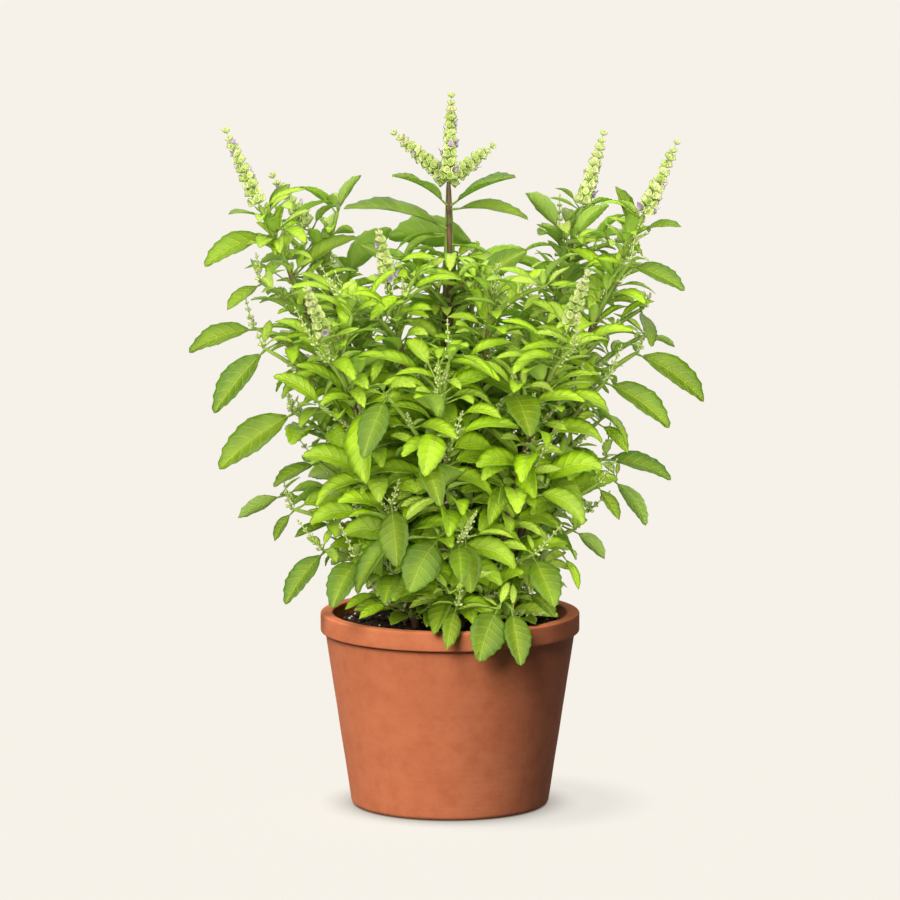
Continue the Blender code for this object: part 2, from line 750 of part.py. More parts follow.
class Stem:
    """A leafy stem with its side shoots and leaves."""

    def __init__(self, name):
        self.name = name
        foot, tip, self.base_radius, self.spike, self.spike_lean = STEMS[name]
        low = Vector((foot[0], foot[1], SOIL_TOP - HOLE_DEPTH + SEAT))
        ground = Vector((foot[0], foot[1], SOIL_TOP + 3))
        lean = Vector(tip) - ground
        knee = ground + Vector((KNEE_OUT * lean.x, KNEE_OUT * lean.y, KNEE_UP * lean.z))
        self.path = Path([low] + bent(ground, knee, Vector(tip), STEM_POINTS))
        self.shoots = []
        self.leaves = []
        self.owner = name

    def radius(self, along):
        """The stem's radius at a length along it."""
        share = max(0.0, along - HOLE_DEPTH) / (self.path.length - HOLE_DEPTH)
        return self.base_radius + (STEM_END - self.base_radius) * share

    def shape(self):
        """The bare stem as a closed shape."""
        ground = HOLE_DEPTH + 2.0
        steps = range(STEM_STEPS + 1)
        places = [0.0] + [ground + (self.path.length - ground) * step / STEM_STEPS for step in steps]
        points = [self.path.at(place)[0] for place in places]
        lean = self.path.points[-1] - self.path.points[0]
        return square_tube(points, [self.radius(place) for place in places],
                           UP.cross(lean).normalized())

    def tries(self, seed):
        """Changes of azimuth, pitch and length, the smallest first."""
        dice = random.Random(f"{self.name} {seed}")
        changes = [(0, 0, 1.0)]
        for size in SIZES:
            for turn in TURNS:
                for tilt in TILTS:
                    sign = dice.choice((-1, 1))
                    changes += [(sign * turn, tilt, size), (-sign * turn, tilt, size)]
        return changes

    def place_leaf(self, room, leaf, parent, along, seed, solid=True, free=False):
        """Puts a leaf where there is room."""
        for change in self.tries(seed):
            trial = leaf.changed(*change)
            if not free and not inside_outline(trial.spine(1.0)):
                continue
            if room.is_free(trial.shape(CLEAR), parent.owner):
                trial.sunk = SUNK * parent.radius(along)
                trial.solid = solid
                self.leaves.append(trial)
                room.add(trial.shape(GROWN_CLEAR), trial)
                return

    def place_shoot(self, room, along, end, seed):
        """Puts a side shoot where there is room, and returns it."""
        root, direction = self.path.at(along)
        dice = random.Random(f"{self.name} {seed}")
        for step in range(SHOOT_TRIES):
            stray = Vector([dice.uniform(-1, 1) for _ in range(3)]) * (SHOOT_STRAY * step)
            goal = end + stray
            out = (goal - root).normalized()
            ahead = (out + UP * SHOOT_UP + direction * SHOOT_ALONG).normalized()
            shoot = Shoot(root, ahead, goal, (self.name, seed))
            if room.is_free(shoot.shape(CLEAR), self.owner):
                self.shoots.append(shoot)
                room.add(shoot.shape(), shoot.owner)
                return shoot
        return None


def outward_roll(root, azimuth, tilt):
    """The roll that turns a leaf's upper face out of the bush, to the nearer of front and back."""
    out = Vector((root.x, root.y, 0.0)).normalized() * OUT_FROM_MIDDLE
    out.y += -OUT_FROM_FACE if root.y < FRONT_DEPTH else OUT_FROM_FACE
    left = Vector((-math.sin(math.radians(azimuth)), math.cos(math.radians(azimuth)), 0.0))
    return -tilt * max(-1.0, min(1.0, ROLL_FULL * left.dot(out)))


def free_leaf(root, azimuth, pitch, length, petiole, dice):
    """A leaf that grows its own way, arched down to its tip."""
    high = min(1.0, max(0.0, (root.z - SLIM_FROM) / SLIM_RISE))
    azimuth += dice.uniform(*SWAY) * (1 + HIGH_SWAY * high)
    return Leaf(root, azimuth, pitch + dice.uniform(*SWAY) * (1 + HIGH_SWAY * high),
                length * (1 - HIGH_SHORT * high), petiole, dice.uniform(*ARCH) * (1 - HIGH_STIFF * high),
                outward_roll(root, azimuth, dice.uniform(*ROLL)) * (1 - HIGH_FLAT * high),
                dice.uniform(*BEND), dice.uniform(*FOLD), dice.uniform(*BROAD) * (1 - HIGH_SLIM * high))


def towards(root, tip, petiole, broad, dice):
    """A leaf that grows from a root to a tip, with its chord bowed by its arch."""
    arch = dice.uniform(*REACH_ARCH)
    reach = tip - root
    azimuth = math.degrees(math.atan2(reach.y, reach.x))
    slope = math.degrees(math.atan2(reach.z, math.hypot(reach.x, reach.y)))
    length = reach.length * REACH_LENGTH - petiole
    return Leaf(root, azimuth, slope + REACH_BOW * arch, length, petiole, arch,
                outward_roll(root, azimuth, dice.uniform(*REACH_ROLL)), 0.0, dice.uniform(*FOLD),
                broad)


def grow_reaches(stems, room):
    """Grows the shoots and leaves that give the bush its outline."""
    ends = []
    for number, (name, height, end, tip, *broad) in enumerate(REACHES):
        stem = stems[name]
        seed = f"reach {number}"
        dice = random.Random(seed)
        broad = broad[0] if broad else SLIM
        along = stem.path.at_height(height)
        if end is None:
            leaf = towards(stem.path.at(along)[0], Vector(tip), STEM_PETIOLE[0], broad, dice)
            stem.place_leaf(room, leaf, stem, along, seed, free=True)
            continue
        shoot = stem.place_shoot(room, along, Vector(end), seed)
        if shoot is None:
            continue
        place = shoot.path.length - SHOOT_PAIR
        leaf = towards(shoot.path.at(place)[0], Vector(tip), SHOOT_PETIOLE[0], broad, dice)
        stem.place_leaf(room, leaf, shoot, place, seed, free=True)
        ends.append((stem, shoot, leaf.azimuth, seed))
    return ends


def grow_shoot_leaves(stem, shoot, first_azimuth, seed, room, solid_pair):
    """Grows the other leaves of a side shoot: across from the first, and a pair lower down."""
    dice = random.Random(f"leaves {stem.name} {seed}")
    sites = [(shoot.path.length - SHOOT_PAIR, 180, ACROSS, False)]
    if shoot.path.length > FORKED_SHOOT:
        place = shoot.path.length * LOWER_PAIR
        sites += [(place, 90, LOWER, solid_pair), (place, -90, LOWER, False)]
    for place, turn, length, solid in sites:
        leaf = free_leaf(shoot.path.at(place)[0], first_azimuth + turn, SHOOT_LEAF_PITCH,
                         length * dice.uniform(*SHOOT_LEAF_SIZE), dice.uniform(*SHOOT_PETIOLE),
                         dice)
        stem.place_leaf(room, leaf, shoot, place, f"{seed} {turn}", solid)


def grow_stem_leaves(stem, room, level):
    """Grows the pair of leaves at one level of a stem, counted down from its tip."""
    dice = random.Random(f"pair {stem.name} {level}")
    down = FIRST_PAIR + sum(PAIR_STEP + PAIR_STEP_MORE * step for step in range(level))
    along = stem.path.length - down
    root, _ = stem.path.at(along)
    if root.z < SOIL_TOP + LOWEST_PAIR or level < BARE_PAIRS.get(stem.name, 0):
        return
    outward = math.degrees(math.atan2(root.y, root.x))
    azimuth = outward + 90 * (level % 2) + dice.uniform(*PAIR_TURN)
    for side, turn in enumerate((0, 180)):
        leaf = free_leaf(root, azimuth + turn, PAIR_PITCHES[level],
                         PAIR_LENGTHS[level] * dice.uniform(*PAIR_SIZE),
                         dice.uniform(*STEM_PETIOLE), dice)
        stem.place_leaf(room, leaf, stem, along, f"pair {level} {turn}", level + side < SOLID_PAIRS)


def grow_side_shoot(stem, room, level, lean):
    """Grows a side shoot at one level of a stem, leaning from its outward direction.

    It is left out again if none of its leaves has room.
    """
    seed = f"side {level} {lean}"
    dice = random.Random(f"{stem.name} {seed}")
    along = stem.path.length - SIDE_STEP * (level + 1)
    root, _ = stem.path.at(along)
    if root.z < SOIL_TOP + LOWEST_PAIR / 2:
        return
    azimuth = math.degrees(math.atan2(root.y, root.x)) + lean + dice.uniform(*SIDE_TURN)
    ahead = Vector((math.cos(math.radians(azimuth)), math.sin(math.radians(azimuth)), 0.0))
    rise = dice.uniform(*SIDE_RISE)
    for reach in SIDE_REACHES:
        end = root + ahead * reach + UP * rise
        if inside_outline(end + ahead * SIDE_LEAF_REACH):
            break
    shoot = stem.place_shoot(room, along, end, seed)
    if shoot is None:
        return
    grown = len(stem.leaves)
    place = shoot.path.length - SHOOT_PAIR
    azimuth += dice.uniform(*SIDE_LEAF_TURN)
    leaf = free_leaf(shoot.path.at(place)[0], azimuth, SIDE_LEAF_PITCH, dice.uniform(*SIDE_LEAF),
                     dice.uniform(*SHOOT_PETIOLE), dice)
    stem.place_leaf(room, leaf, shoot, place, seed)
    grow_shoot_leaves(stem, shoot, azimuth, seed, room, False)
    if len(stem.leaves) == grown:
        stem.shoots.remove(shoot)


def spike_shape(stem, clear=0.0):
    """A flower spike: whorls of six small cups, one above another, on a thin axis.

    A leaning spike starts a little higher, so that the low side of its foot clears the stem.
    """
    length = stem.spike
    top, upward = stem.path.at(stem.path.length)
    direction = (upward + Vector((stem.spike_lean, 0.0, 0.0))).normalized()
    start = top + upward * (SEAT + SPIKE_FOOT * upward.cross(direction).length)
    side = direction.cross(Vector((0.3, 1.0, 0.1))).normalized()
    other = direction.cross(side)
    whorls = max(FEWEST_WHORLS, round(length / WHORL))
    rings = [(0.0, SPIKE_FOOT, 1.0, 0.0)]
    for whorl in range(whorls):
        size = SPIKE_RADIUS * (1.0 - SPIKE_TAPER * whorl / whorls)
        height = length * (whorl + WHORL_PLACE) / whorls
        turn = 0.5 * (whorl % 2)
        rings.append((height, size, SPIKE_STAR, turn))
        rings.append((height + WAIST_PLACE * length / whorls, size * SPIKE_WAIST, 1.0, turn))
    points = []
    for height, radius, star, turn in rings:
        middle = start + direction * height + UP * (SPIKE_CURVE * height * height)
        for corner in range(6):
            angle = math.tau * (corner + turn) / 6
            reach = radius * (1.0 if corner % 2 == 0 else star) + clear
            points.append(middle + side * (math.cos(angle) * reach) + other * (math.sin(angle) * reach))
    faces = [tuple(range(6)), tuple(range(len(points) - 6, len(points)))]
    for low in range(0, len(points) - 6, 6):
        for corner in range(6):
            a = low + corner
            b = low + (corner + 1) % 6
            faces += [(a, b, b + 6), (a, b + 6, a + 6)]
    return points, faces


def shape_of(thing):
    """An object's mesh as points in millimetres and faces."""
    points = [vertex.co / METRES for vertex in thing.data.vertices]
    return points, [tuple(face.vertices) for face in thing.data.polygons]


def grow_plant(pot, soil):
    """Grows the whole plant and returns its stems."""
    room = Room()
    room.add(shape_of(pot), "pot")
    room.add(shape_of(soil), "soil")
    stems = {name: Stem(name) for name in STEMS}
    for stem in stems.values():
        room.add(stem.shape(), stem.owner)
        if stem.spike:
            room.add(spike_shape(stem, SPIKE_CLEAR), stem.name + " spike")
    for stem, shoot, azimuth, seed in grow_reaches(stems, room):
        grow_shoot_leaves(stem, shoot, azimuth, seed, room, True)
    for level in range(3):
        for stem in stems.values():
            grow_stem_leaves(stem, room, level)
    for level, lean in SIDE_ROUNDS:
        for name, stem in stems.items():
            if name.startswith(SIDE_STEMS):
                grow_side_shoot(stem, room, level, lean)
    for level in range(3, len(PAIR_LENGTHS)):
        for stem in stems.values():
            grow_stem_leaves(stem, room, level)
    return stems


def make_stem(stem):
    """Fuses a stem, its side shoots and the leaves that are cut in solid into one body."""
    thing = new_object("stem_" + stem.name, stem.shape(), "leaf")
    shapes = [shoot.shape() for shoot in stem.shoots]
    shapes += [leaf.shape() for leaf in stem.leaves if leaf.solid]
    combine(thing, shapes, "UNION")
    clean(thing)
    return thing


def main():
    for thing in list(bpy.data.objects):
        bpy.data.objects.remove(thing, do_unlink=True)
    pot = make_pot()
    soil = make_soil()
    stems = grow_plant(pot, soil)
    for stem in stems.values():
        make_stem(stem)
        if stem.spike:
            new_object("flower_" + stem.name, spike_shape(stem), "flower")


main()
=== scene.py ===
# %% [markdown]
# # A potted holy basil
# Holy basil is a bushy kitchen herb with square stems. Its leaves stand in opposite pairs, each
# pair turned a quarter from the one below, and small flowers sit in whorls on slim spikes above
# the leaves. This one fills a plain clay pot.
#
# The solids of the pot, the soil, sixteen leafy stems and thirteen flower spikes are fixed and
# come with the frame. This lesson dresses them. Each leafy stem is grown again by the same rule
# as its solid, so every leaf comes out where the solid has it, but with a cut edge, veins and a
# thin blade. Then come the small young leaves, the flowers, crumbs of soil and every finish.

# %% Load the frame
import math
import random

import bmesh
import bpy
import numpy as np
from mathutils import Matrix, Vector, noise
from mathutils.bvhtree import BVHTree


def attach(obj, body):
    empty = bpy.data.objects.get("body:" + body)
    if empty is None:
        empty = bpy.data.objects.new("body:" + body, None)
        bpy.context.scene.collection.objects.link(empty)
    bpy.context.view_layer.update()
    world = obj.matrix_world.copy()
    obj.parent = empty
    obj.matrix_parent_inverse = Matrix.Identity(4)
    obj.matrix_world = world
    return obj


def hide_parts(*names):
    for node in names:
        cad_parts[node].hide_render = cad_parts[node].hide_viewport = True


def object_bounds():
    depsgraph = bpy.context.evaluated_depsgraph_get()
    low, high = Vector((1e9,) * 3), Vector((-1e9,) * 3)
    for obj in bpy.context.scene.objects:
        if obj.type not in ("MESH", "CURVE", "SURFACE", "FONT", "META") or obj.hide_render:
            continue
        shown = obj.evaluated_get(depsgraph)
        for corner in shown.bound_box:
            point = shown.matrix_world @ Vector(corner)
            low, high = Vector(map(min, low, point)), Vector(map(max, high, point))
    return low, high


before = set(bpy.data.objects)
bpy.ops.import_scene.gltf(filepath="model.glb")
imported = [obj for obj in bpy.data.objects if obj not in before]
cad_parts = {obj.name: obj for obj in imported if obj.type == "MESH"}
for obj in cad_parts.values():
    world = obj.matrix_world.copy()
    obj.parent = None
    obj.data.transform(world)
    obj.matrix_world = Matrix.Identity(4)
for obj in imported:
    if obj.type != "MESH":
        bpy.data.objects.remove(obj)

cad_box = [list(corner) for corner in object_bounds()]
print("nodes:", len(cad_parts), "box:", [[round(v, 4) for v in corner] for corner in cad_box])

# %% [markdown]
# ## Lengths
# A plant this size is easiest to think of in millimetres, and Blender's frame is in metres. So
# everything below is worked out in millimetres, and one helper turns points into metres when it
# makes a mesh. Bundle gathers many small closed shapes, such as the leaves of one stem, in one
# mesh. Along with each point it keeps two sets of three numbers, which the finishes read.

# %% A bundle of closed shapes
METRES = 0.001
UP = Vector((0.0, 0.0, 1.0))


class Bundle:
    """Closed shapes gathered into one piece, with two marks on each point."""

    def __init__(self):
        self.points = []
        self.faces = []
        self.marks = []
        self.looks = []
        self.count = 0

    def add(self, points, faces, mark, look=(0.0, 0.0, 0.0)):
        """Adds a shape in millimetres. A mark or look is one triple, or one for each point."""
        points = np.asarray(points, float)
        self.points.append(points)
        self.faces += [tuple(corner + self.count for corner in face) for face in faces]
        self.marks.append(np.broadcast_to(np.asarray(mark, float), points.shape))
        self.looks.append(np.broadcast_to(np.asarray(look, float), points.shape))
        self.count += len(points)

    def make(self, name, material, nodes=()):
        """Makes the piece, which rides on the one body and may stand for solids."""
        mesh = bpy.data.meshes.new(name)
        mesh.from_pydata((np.concatenate(self.points) * METRES).tolist(), [], self.faces)
        for title, rows in (("mark", self.marks), ("look", self.looks)):
            layer = mesh.attributes.new(title, "FLOAT_VECTOR", "POINT")
            layer.data.foreach_set("vector", np.concatenate(rows).astype(np.float32).ravel())
        mesh.shade_smooth()
        mesh.materials.append(material)
        thing = bpy.data.objects.new(name, mesh)
        bpy.context.scene.collection.objects.link(thing)
        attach(thing, "root")
        if nodes:
            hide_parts(*nodes)
        return thing


def triangles(thing):
    """How many triangles a piece has."""
    return sum(len(face.vertices) - 2 for face in thing.data.polygons)


sample = Bundle()
sample.add([(0, 0, 0), (1, 0, 0), (0, 1, 0)], [(0, 1, 2)], (0.0, 0.0, 0.0))
sample.add([(0, 0, 5), (1, 0, 5), (0, 1, 5)], [(0, 1, 2)], (1.0, 0.0, 0.0))
print("the second face of a bundle joins points", sample.faces[1])

# %% [markdown]
# ## Shader maths
# A finish is a small graph of nodes, and graphs are hard to read as code. So one class wraps an
# output socket, and Python's own operators on it add the Math nodes: 1 - mask just works. A second
# class holds a material and has one method that adds any other node.

# %% Values and finishes


class Value:
    """A number, colour or direction that varies over a surface: one output socket."""

    def __init__(self, finish, socket):
        self.finish = finish
        self.socket = socket

    def maths(self, operation, first, second=0.0):
        return self.finish.node("ShaderNodeMath", {"operation": operation}, {0: first, 1: second})

    def __add__(self, other):
        return self.maths("ADD", self, other)

    def __sub__(self, other):
        return self.maths("SUBTRACT", self, other)

    def __rsub__(self, other):
        return self.maths("SUBTRACT", other, self)

    def __mul__(self, other):
        return self.maths("MULTIPLY", self, other)

    def __pow__(self, other):
        return self.maths("POWER", self, other)

    def __abs__(self):
        return self.maths("ABSOLUTE", self)

    __radd__ = __add__
    __rmul__ = __mul__

    def part(self):
        """The fraction after the decimal point."""
        return self.maths("FRACT", self)

    def step(self, low, high):
        """A smooth step from 0 at low to 1 at high."""
        return self.finish.node("ShaderNodeMapRange", {"interpolation_type": "SMOOTHSTEP"},
                                {"Value": self, "From Min": low, "From Max": high})


class Finish:
    """A material, and the nodes that work out its colour, roughness and relief."""

    def __init__(self, name):
        self.material = bpy.data.materials.new(name)
        self.material.use_nodes = True
        self.tree = self.material.node_tree
        self.shader = self.tree.nodes["Principled BSDF"]
        self.place = self.node("ShaderNodeTexCoord", output="Object")

    def node(self, kind, settings=None, inputs=None, output=0):
        """Adds a node with its settings and inputs, and returns one of its outputs."""
        node = self.tree.nodes.new(kind)
        for key, value in (settings or {}).items():
            setattr(node, key, value)
        for key, value in (inputs or {}).items():
            self.feed(node.inputs[key], value)
        return Value(self, node.outputs[output])

    def feed(self, socket, value):
        """Links a value to a socket, or sets the socket to a constant."""
        if isinstance(value, Value):
            self.tree.links.new(value.socket, socket)
        elif socket.type == "RGBA":
            socket.default_value = (*value, 1.0)
        else:
            socket.default_value = value

    def mix(self, first, second, share):
        """A colour between two colours."""
        return self.node("ShaderNodeMix", {"data_type": "RGBA"}, {0: share, 6: first, 7: second}, 2)

    def coats(self, colour, *coats):
        """A colour with other colours laid over it, one after another, each by its share."""
        for coat, share in coats:
            colour = self.mix(colour, coat, share)
        return colour

    def noise(self, scale, detail=3.0, rough=0.55, stretch=None):
        """Cloudy noise, with scale in cells a metre."""
        place = self.place
        if stretch:
            place = self.node("ShaderNodeVectorMath", {"operation": "MULTIPLY"},
                              {0: place, 1: stretch})
        return self.node("ShaderNodeTexNoise", None,
                         {"Vector": place, "Scale": scale, "Detail": detail, "Roughness": rough})

    def cells(self, scale, feature="F1"):
        """Distance to the nearest of scattered points, for pores and crumbs."""
        return self.node("ShaderNodeTexVoronoi", {"feature": feature},
                         {"Vector": self.place, "Scale": scale})

    def numbers(self, name):
        """The three numbers of a mark on the mesh."""
        vector = self.node("ShaderNodeAttribute", {"attribute_name": name}, output="Vector")
        split = self.node("ShaderNodeSeparateXYZ", None, {0: vector})
        return [Value(self, socket) for socket in split.socket.node.outputs]

    def finish(self, **inputs):
        """Sets the shader's inputs, named with _ for each space."""
        for key, value in inputs.items():
            self.feed(self.shader.inputs[key.replace("_", " ")], value)
        print("finish", self.material.name, "with", len(self.tree.nodes), "nodes")
        return self.material

    def blend(self, shader, share):
        """Blends the shader with another one, by a constant share."""
        own = Value(self, self.shader.outputs[0])
        both = self.node("ShaderNodeMixShader", None, {0: share, 1: own, 2: shader})
        self.feed(self.tree.nodes["Material Output"].inputs["Surface"], both)

    def bump(self, height, distance, strength=1.0):
        """The normal of a relief, with the height of its unit in metres."""
        return self.node("ShaderNodeBump", None,
                         {"Height": height, "Distance": distance, "Strength": strength})

# %% [markdown]
# ## Clay
# The pot is unglazed fired clay: dull, with a fine grain of sand, soft clouds where the kiln was
# hotter, and faint rings left by the turning. It is a little darker at its foot, where it stays
# damp, and paler on the worn edge of the collar. Inside, from just below the rim down, a painted
# shade darkens it. Colour could come from a photograph of clay, but noise at three scales gives
# the same look with no seam, and stays sharp from close by.

# %% Clay finish
CLAY_WARM = (0.575, 0.165, 0.068)
CLAY_PALE = (0.665, 0.215, 0.096)
CLAY_DEEP = (0.47, 0.120, 0.046)
CLAY_PORE = (0.30, 0.085, 0.036)
CLAY_WORN = (0.72, 0.28, 0.14)
CLAY_DAMP_AND_PAINTED_SHADE = (0.30, 0.085, 0.045)


def clay_finish():
    """Fired clay: clouds, grain, turning rings and pores, damp foot, worn collar and a painted
    shade inside.
    """
    finish = Finish("terracotta")
    clouds = finish.noise(13.0, 4.0, 0.6)
    mottle = finish.noise(75.0, 4.0, 0.6)
    grain = finish.noise(1500.0, 2.0, 0.6)
    rings = finish.noise(1.0, 3.0, 0.6, stretch=(6.0, 6.0, 420.0))
    pores = 1 - finish.cells(620.0).step(0.05, 0.22)
    damp, worn, painted_shade_inside = finish.numbers("mark")
    cloudy = (clouds * 0.5 + mottle * 0.5).step(0.40, 0.68)
    # The last coat darkens the damp foot and lays a painted shade inside the pot below its rim
    colour = finish.coats(CLAY_WARM,
                          (CLAY_PALE, cloudy * 0.6),
                          (CLAY_DEEP, (1 - mottle).step(0.48, 0.72) * 0.30),
                          (CLAY_PORE, pores * 0.35),
                          (CLAY_WORN, worn * (0.15 + 0.4 * mottle.step(0.45, 0.62))),
                          (CLAY_DAMP_AND_PAINTED_SHADE, painted_shade_inside * 0.55 + damp * 0.35))
    height = grain * 0.35 + mottle * 0.35 + rings * 0.5 - pores * 0.6
    return finish.finish(Base_Color=colour, Roughness=0.80 + grain * 0.12, Specular_IOR_Level=0.15,
                         Normal=finish.bump(height, 0.0005, 0.55))


clay = clay_finish()
print("nodes of the clay finish:", len(clay.node_tree.nodes))

# %% [markdown]
# ## The pot
# A clay pot is thrown or pressed round an axis: a slim tapering body, a foot with a small rounding,
# and a thick collar that stands proud and lets pots be lifted. It could be a plain cone with a ring
# on it, but one profile turned round the axis has the true wall, floor and hollow in one closed
# skin. The profile is drawn from the same sizes as the solid. Each ring wanders by a tenth of a
# millimetre, as hand work does, and three drainage holes are cut through the floor.

# %% Pot profile
POT_HEIGHT = 135.0
RIM_RADIUS = 90.0
COLLAR_HEIGHT = 13.5
COLLAR_OVERHANG = 3.4
FOOT_RADIUS = 68.4
FOOT_ROUND = 3.5
WALL = 7.0
RIM_WALL = 8.7
FLOOR = 9.0
EDGE = 1.2
CORNER = 3
INNERMOST = 20.0


def wall_radius(height):
    """The outer radius of the pot's body at a height."""
    share = height / (POT_HEIGHT - COLLAR_HEIGHT)
    return FOOT_RADIUS + (RIM_RADIUS - COLLAR_OVERHANG - FOOT_RADIUS) * share


def inner_radius(height):
    """The radius of the pot's hollow at a height."""
    share = (height - FLOOR) / (POT_HEIGHT - FLOOR)
    return FOOT_RADIUS - WALL + (RIM_RADIUS - RIM_WALL - FOOT_RADIUS + WALL) * share


def arc(radius, height, size, start, end, steps=5):
    """Points of a rounded edge: a centre, a size, and two angles in degrees."""
    turns = [math.radians(start + (end - start) * step / steps) for step in range(steps + 1)]
    return [(radius + size * math.cos(turn), height + size * math.sin(turn)) for turn in turns]


def straight(start, end, steps):
    """Points between two ends, without the ends."""
    out, up = end[0] - start[0], end[1] - start[1]
    shares = [step / steps for step in range(1, steps)]
    return [(start[0] + out * share, start[1] + up * share) for share in shares]


def pot_profile():
    """The pot's outline from the middle of its foot, up the outside and down the inside."""
    collar = POT_HEIGHT - COLLAR_HEIGHT
    foot = arc(wall_radius(FOOT_ROUND) - FOOT_ROUND, FOOT_ROUND, FOOT_ROUND, -90, 0)
    under = (wall_radius(collar) + 0.2, collar)
    lip = arc(RIM_RADIUS - EDGE, collar + EDGE, EDGE, -90, 0)
    top = arc(RIM_RADIUS - EDGE, POT_HEIGHT - EDGE, EDGE, 0, 90)
    inside = arc(inner_radius(POT_HEIGHT) + EDGE, POT_HEIGHT - EDGE, EDGE, 90, 180)
    corner = arc(inner_radius(FLOOR) - CORNER, FLOOR + CORNER, CORNER, 0, -90, 3)
    profile = straight((INNERMOST, 0.0), foot[0], 4) + foot
    profile += straight(foot[-1], under, 34) + [under, (under[0] + 0.4, collar - 0.15)]
    profile += lip + straight(lip[-1], top[0], 5) + top
    profile += straight(top[-1], inside[0], 3) + inside
    profile += straight(inside[-1], corner[0], 24) + corner
    middle = [(0.0, 0.0), (INNERMOST, 0.0)]
    return middle + profile + [(INNERMOST, FLOOR), (0.0, FLOOR)]


print("the pot's profile has", len(pot_profile()), "points")

# %% Turn the pot
POT_SIDES = 192
WANDER = 0.16


def turned(profile, sides, wander):
    """Points and faces of a profile turned round the Z axis; it starts and ends on the axis."""
    points = []
    rings = []
    for radius, height in profile:
        first = len(points)
        if radius == 0:
            points.append((0.0, 0.0, height))
            rings.append([first] * sides)
            continue
        for side in range(sides):
            angle = math.tau * side / sides
            x, y = math.cos(angle), math.sin(angle)
            free = 2 < height < POT_HEIGHT - 1
            drift = wander * noise.noise((2 * x, 2 * y, height * 0.05)) if free else 0.0
            points.append(((radius + drift) * x, (radius + drift) * y, height))
        rings.append(list(range(first, first + sides)))
    faces = []
    for low, high in zip(rings, rings[1:]):
        for side in range(sides):
            after = (side + 1) % sides
            face = (low[side], low[after], high[after], high[side])
            faces.append(tuple(dict.fromkeys(face)))
    return points, faces


pot_points, pot_faces = turned(pot_profile(), POT_SIDES, WANDER)
print("the turned pot has", len(pot_faces), "faces")

# %% Mark and drill the pot
DRAIN_RADIUS = 4.5
DRAIN_CIRCLE = 30.0
DRAINS = 3

# Depth of the shade inside the rim, height of the damp foot, and the worn edge of the collar
SHADE_DEPTH = 7.0
DAMP_HEIGHT = 12.0
WORN_WIDTH = 1.2
WORN_FROM = 120


def pot_marks(points):
    """How damp and how worn each of the pot's points is, and how much painted shade it gets inside
    the pot.
    """
    places = np.array(points)
    height = places[:, 2]
    reach = np.hypot(places[:, 0], places[:, 1])
    hollow = reach < np.vectorize(inner_radius)(np.maximum(height, FLOOR)) + 0.6
    painted_shade_inside = (hollow & (height > FLOOR - 0.1)).astype(float)
    painted_shade_inside *= np.clip((POT_HEIGHT - height) / SHADE_DEPTH, 0.0, 1.0)
    damp = np.clip(1.0 - height / DAMP_HEIGHT, 0.0, 1.0) * 0.6
    worn = np.clip(1.0 - np.abs(reach - RIM_RADIUS) / WORN_WIDTH, 0.0, 1.0) * (height > WORN_FROM)
    return np.column_stack([damp, worn, painted_shade_inside])


def drill(pot):
    """Cuts the drainage holes through the pot's floor."""
    circle = DRAIN_CIRCLE * METRES
    drills = []
    for number in range(DRAINS):
        angle = math.tau * (number + 0.25) / DRAINS
        bpy.ops.mesh.primitive_cylinder_add(
            vertices=40, radius=DRAIN_RADIUS * METRES, depth=4 * FLOOR * METRES,
            location=(circle * math.cos(angle), circle * math.sin(angle), 0.0))
        drills.append(bpy.context.object)
        hole = pot.modifiers.new("drain", "BOOLEAN")
        hole.operation = "DIFFERENCE"
        hole.object = drills[-1]
    graph = bpy.context.evaluated_depsgraph_get()
    drilled = bpy.data.meshes.new_from_object(pot.evaluated_get(graph))
    pot.modifiers.clear()
    pot.data = drilled
    for tool in drills:
        bpy.data.objects.remove(tool, do_unlink=True)


def make_pot():
    """The piece with the pot."""
    bundle = Bundle()
    bundle.add(pot_points, pot_faces, pot_marks(pot_points))
    pot = bundle.make("pot_clay", clay, ["pot"])
    drill(pot)
    pot.data.set_sharp_from_angle(angle=math.radians(50))
    return pot


pot = make_pot()
print("pot triangles:", triangles(pot))

# %% [markdown]
# ## Soil
# Potting soil is a dark mix of peat, bark crumbs and a few white grains of perlite. A flat dark
# disc would look like paint, so the surface is a fine round net of points, lifted by noise at
# three sizes: a gentle unevenness, lumps and crumbs. It closes round the stems, and sinks a little
# towards the pot's wall, where watering settles it.

# %% Soil finish
SOIL_DARK = (0.013, 0.008, 0.006)
SOIL_CLOD = (0.062, 0.037, 0.023)
SOIL_FIBRE = (0.115, 0.068, 0.038)


def soil_finish():
    """Dark soil with clods and fibres."""
    finish = Finish("soil")
    clods = finish.noise(160.0, 5.0, 0.65)
    crumbs = finish.cells(520.0)
    fibre = finish.noise(900.0, 3.0, 0.7, stretch=(1.0, 0.35, 1.0))
    colour = finish.coats(SOIL_DARK, (SOIL_CLOD, clods.step(0.35, 0.68)),
                          (SOIL_FIBRE, fibre.step(0.60, 0.72) * 0.55))
    height = clods * 0.9 + (1 - crumbs.step(0.0, 0.5)) * 0.5 + fibre * 0.35
    return finish.finish(Base_Color=colour, Roughness=0.86 + clods * 0.12, Specular_IOR_Level=0.2,
                         Normal=finish.bump(height, 0.0012, 0.9))


soil_material = soil_finish()
print("nodes of the soil finish:", len(soil_material.node_tree.nodes))

# %% Soil surface
SOIL_TOP = 127.0
SOIL_GAP = 0.4
SOIL_SIDES = 180
SOIL_RINGS = 62
SINK = 1.6
SINK_FROM = 0.9


def soil_height(x, y):
    """The height of the soil's slightly uneven surface, as the solid has it."""
    lumps = math.sin(0.11 * x + 0.6) * math.cos(0.13 * y - 0.4)
    lumps += 0.6 * math.sin(0.21 * x - 0.17 * y)
    return SOIL_TOP + 0.9 * lumps


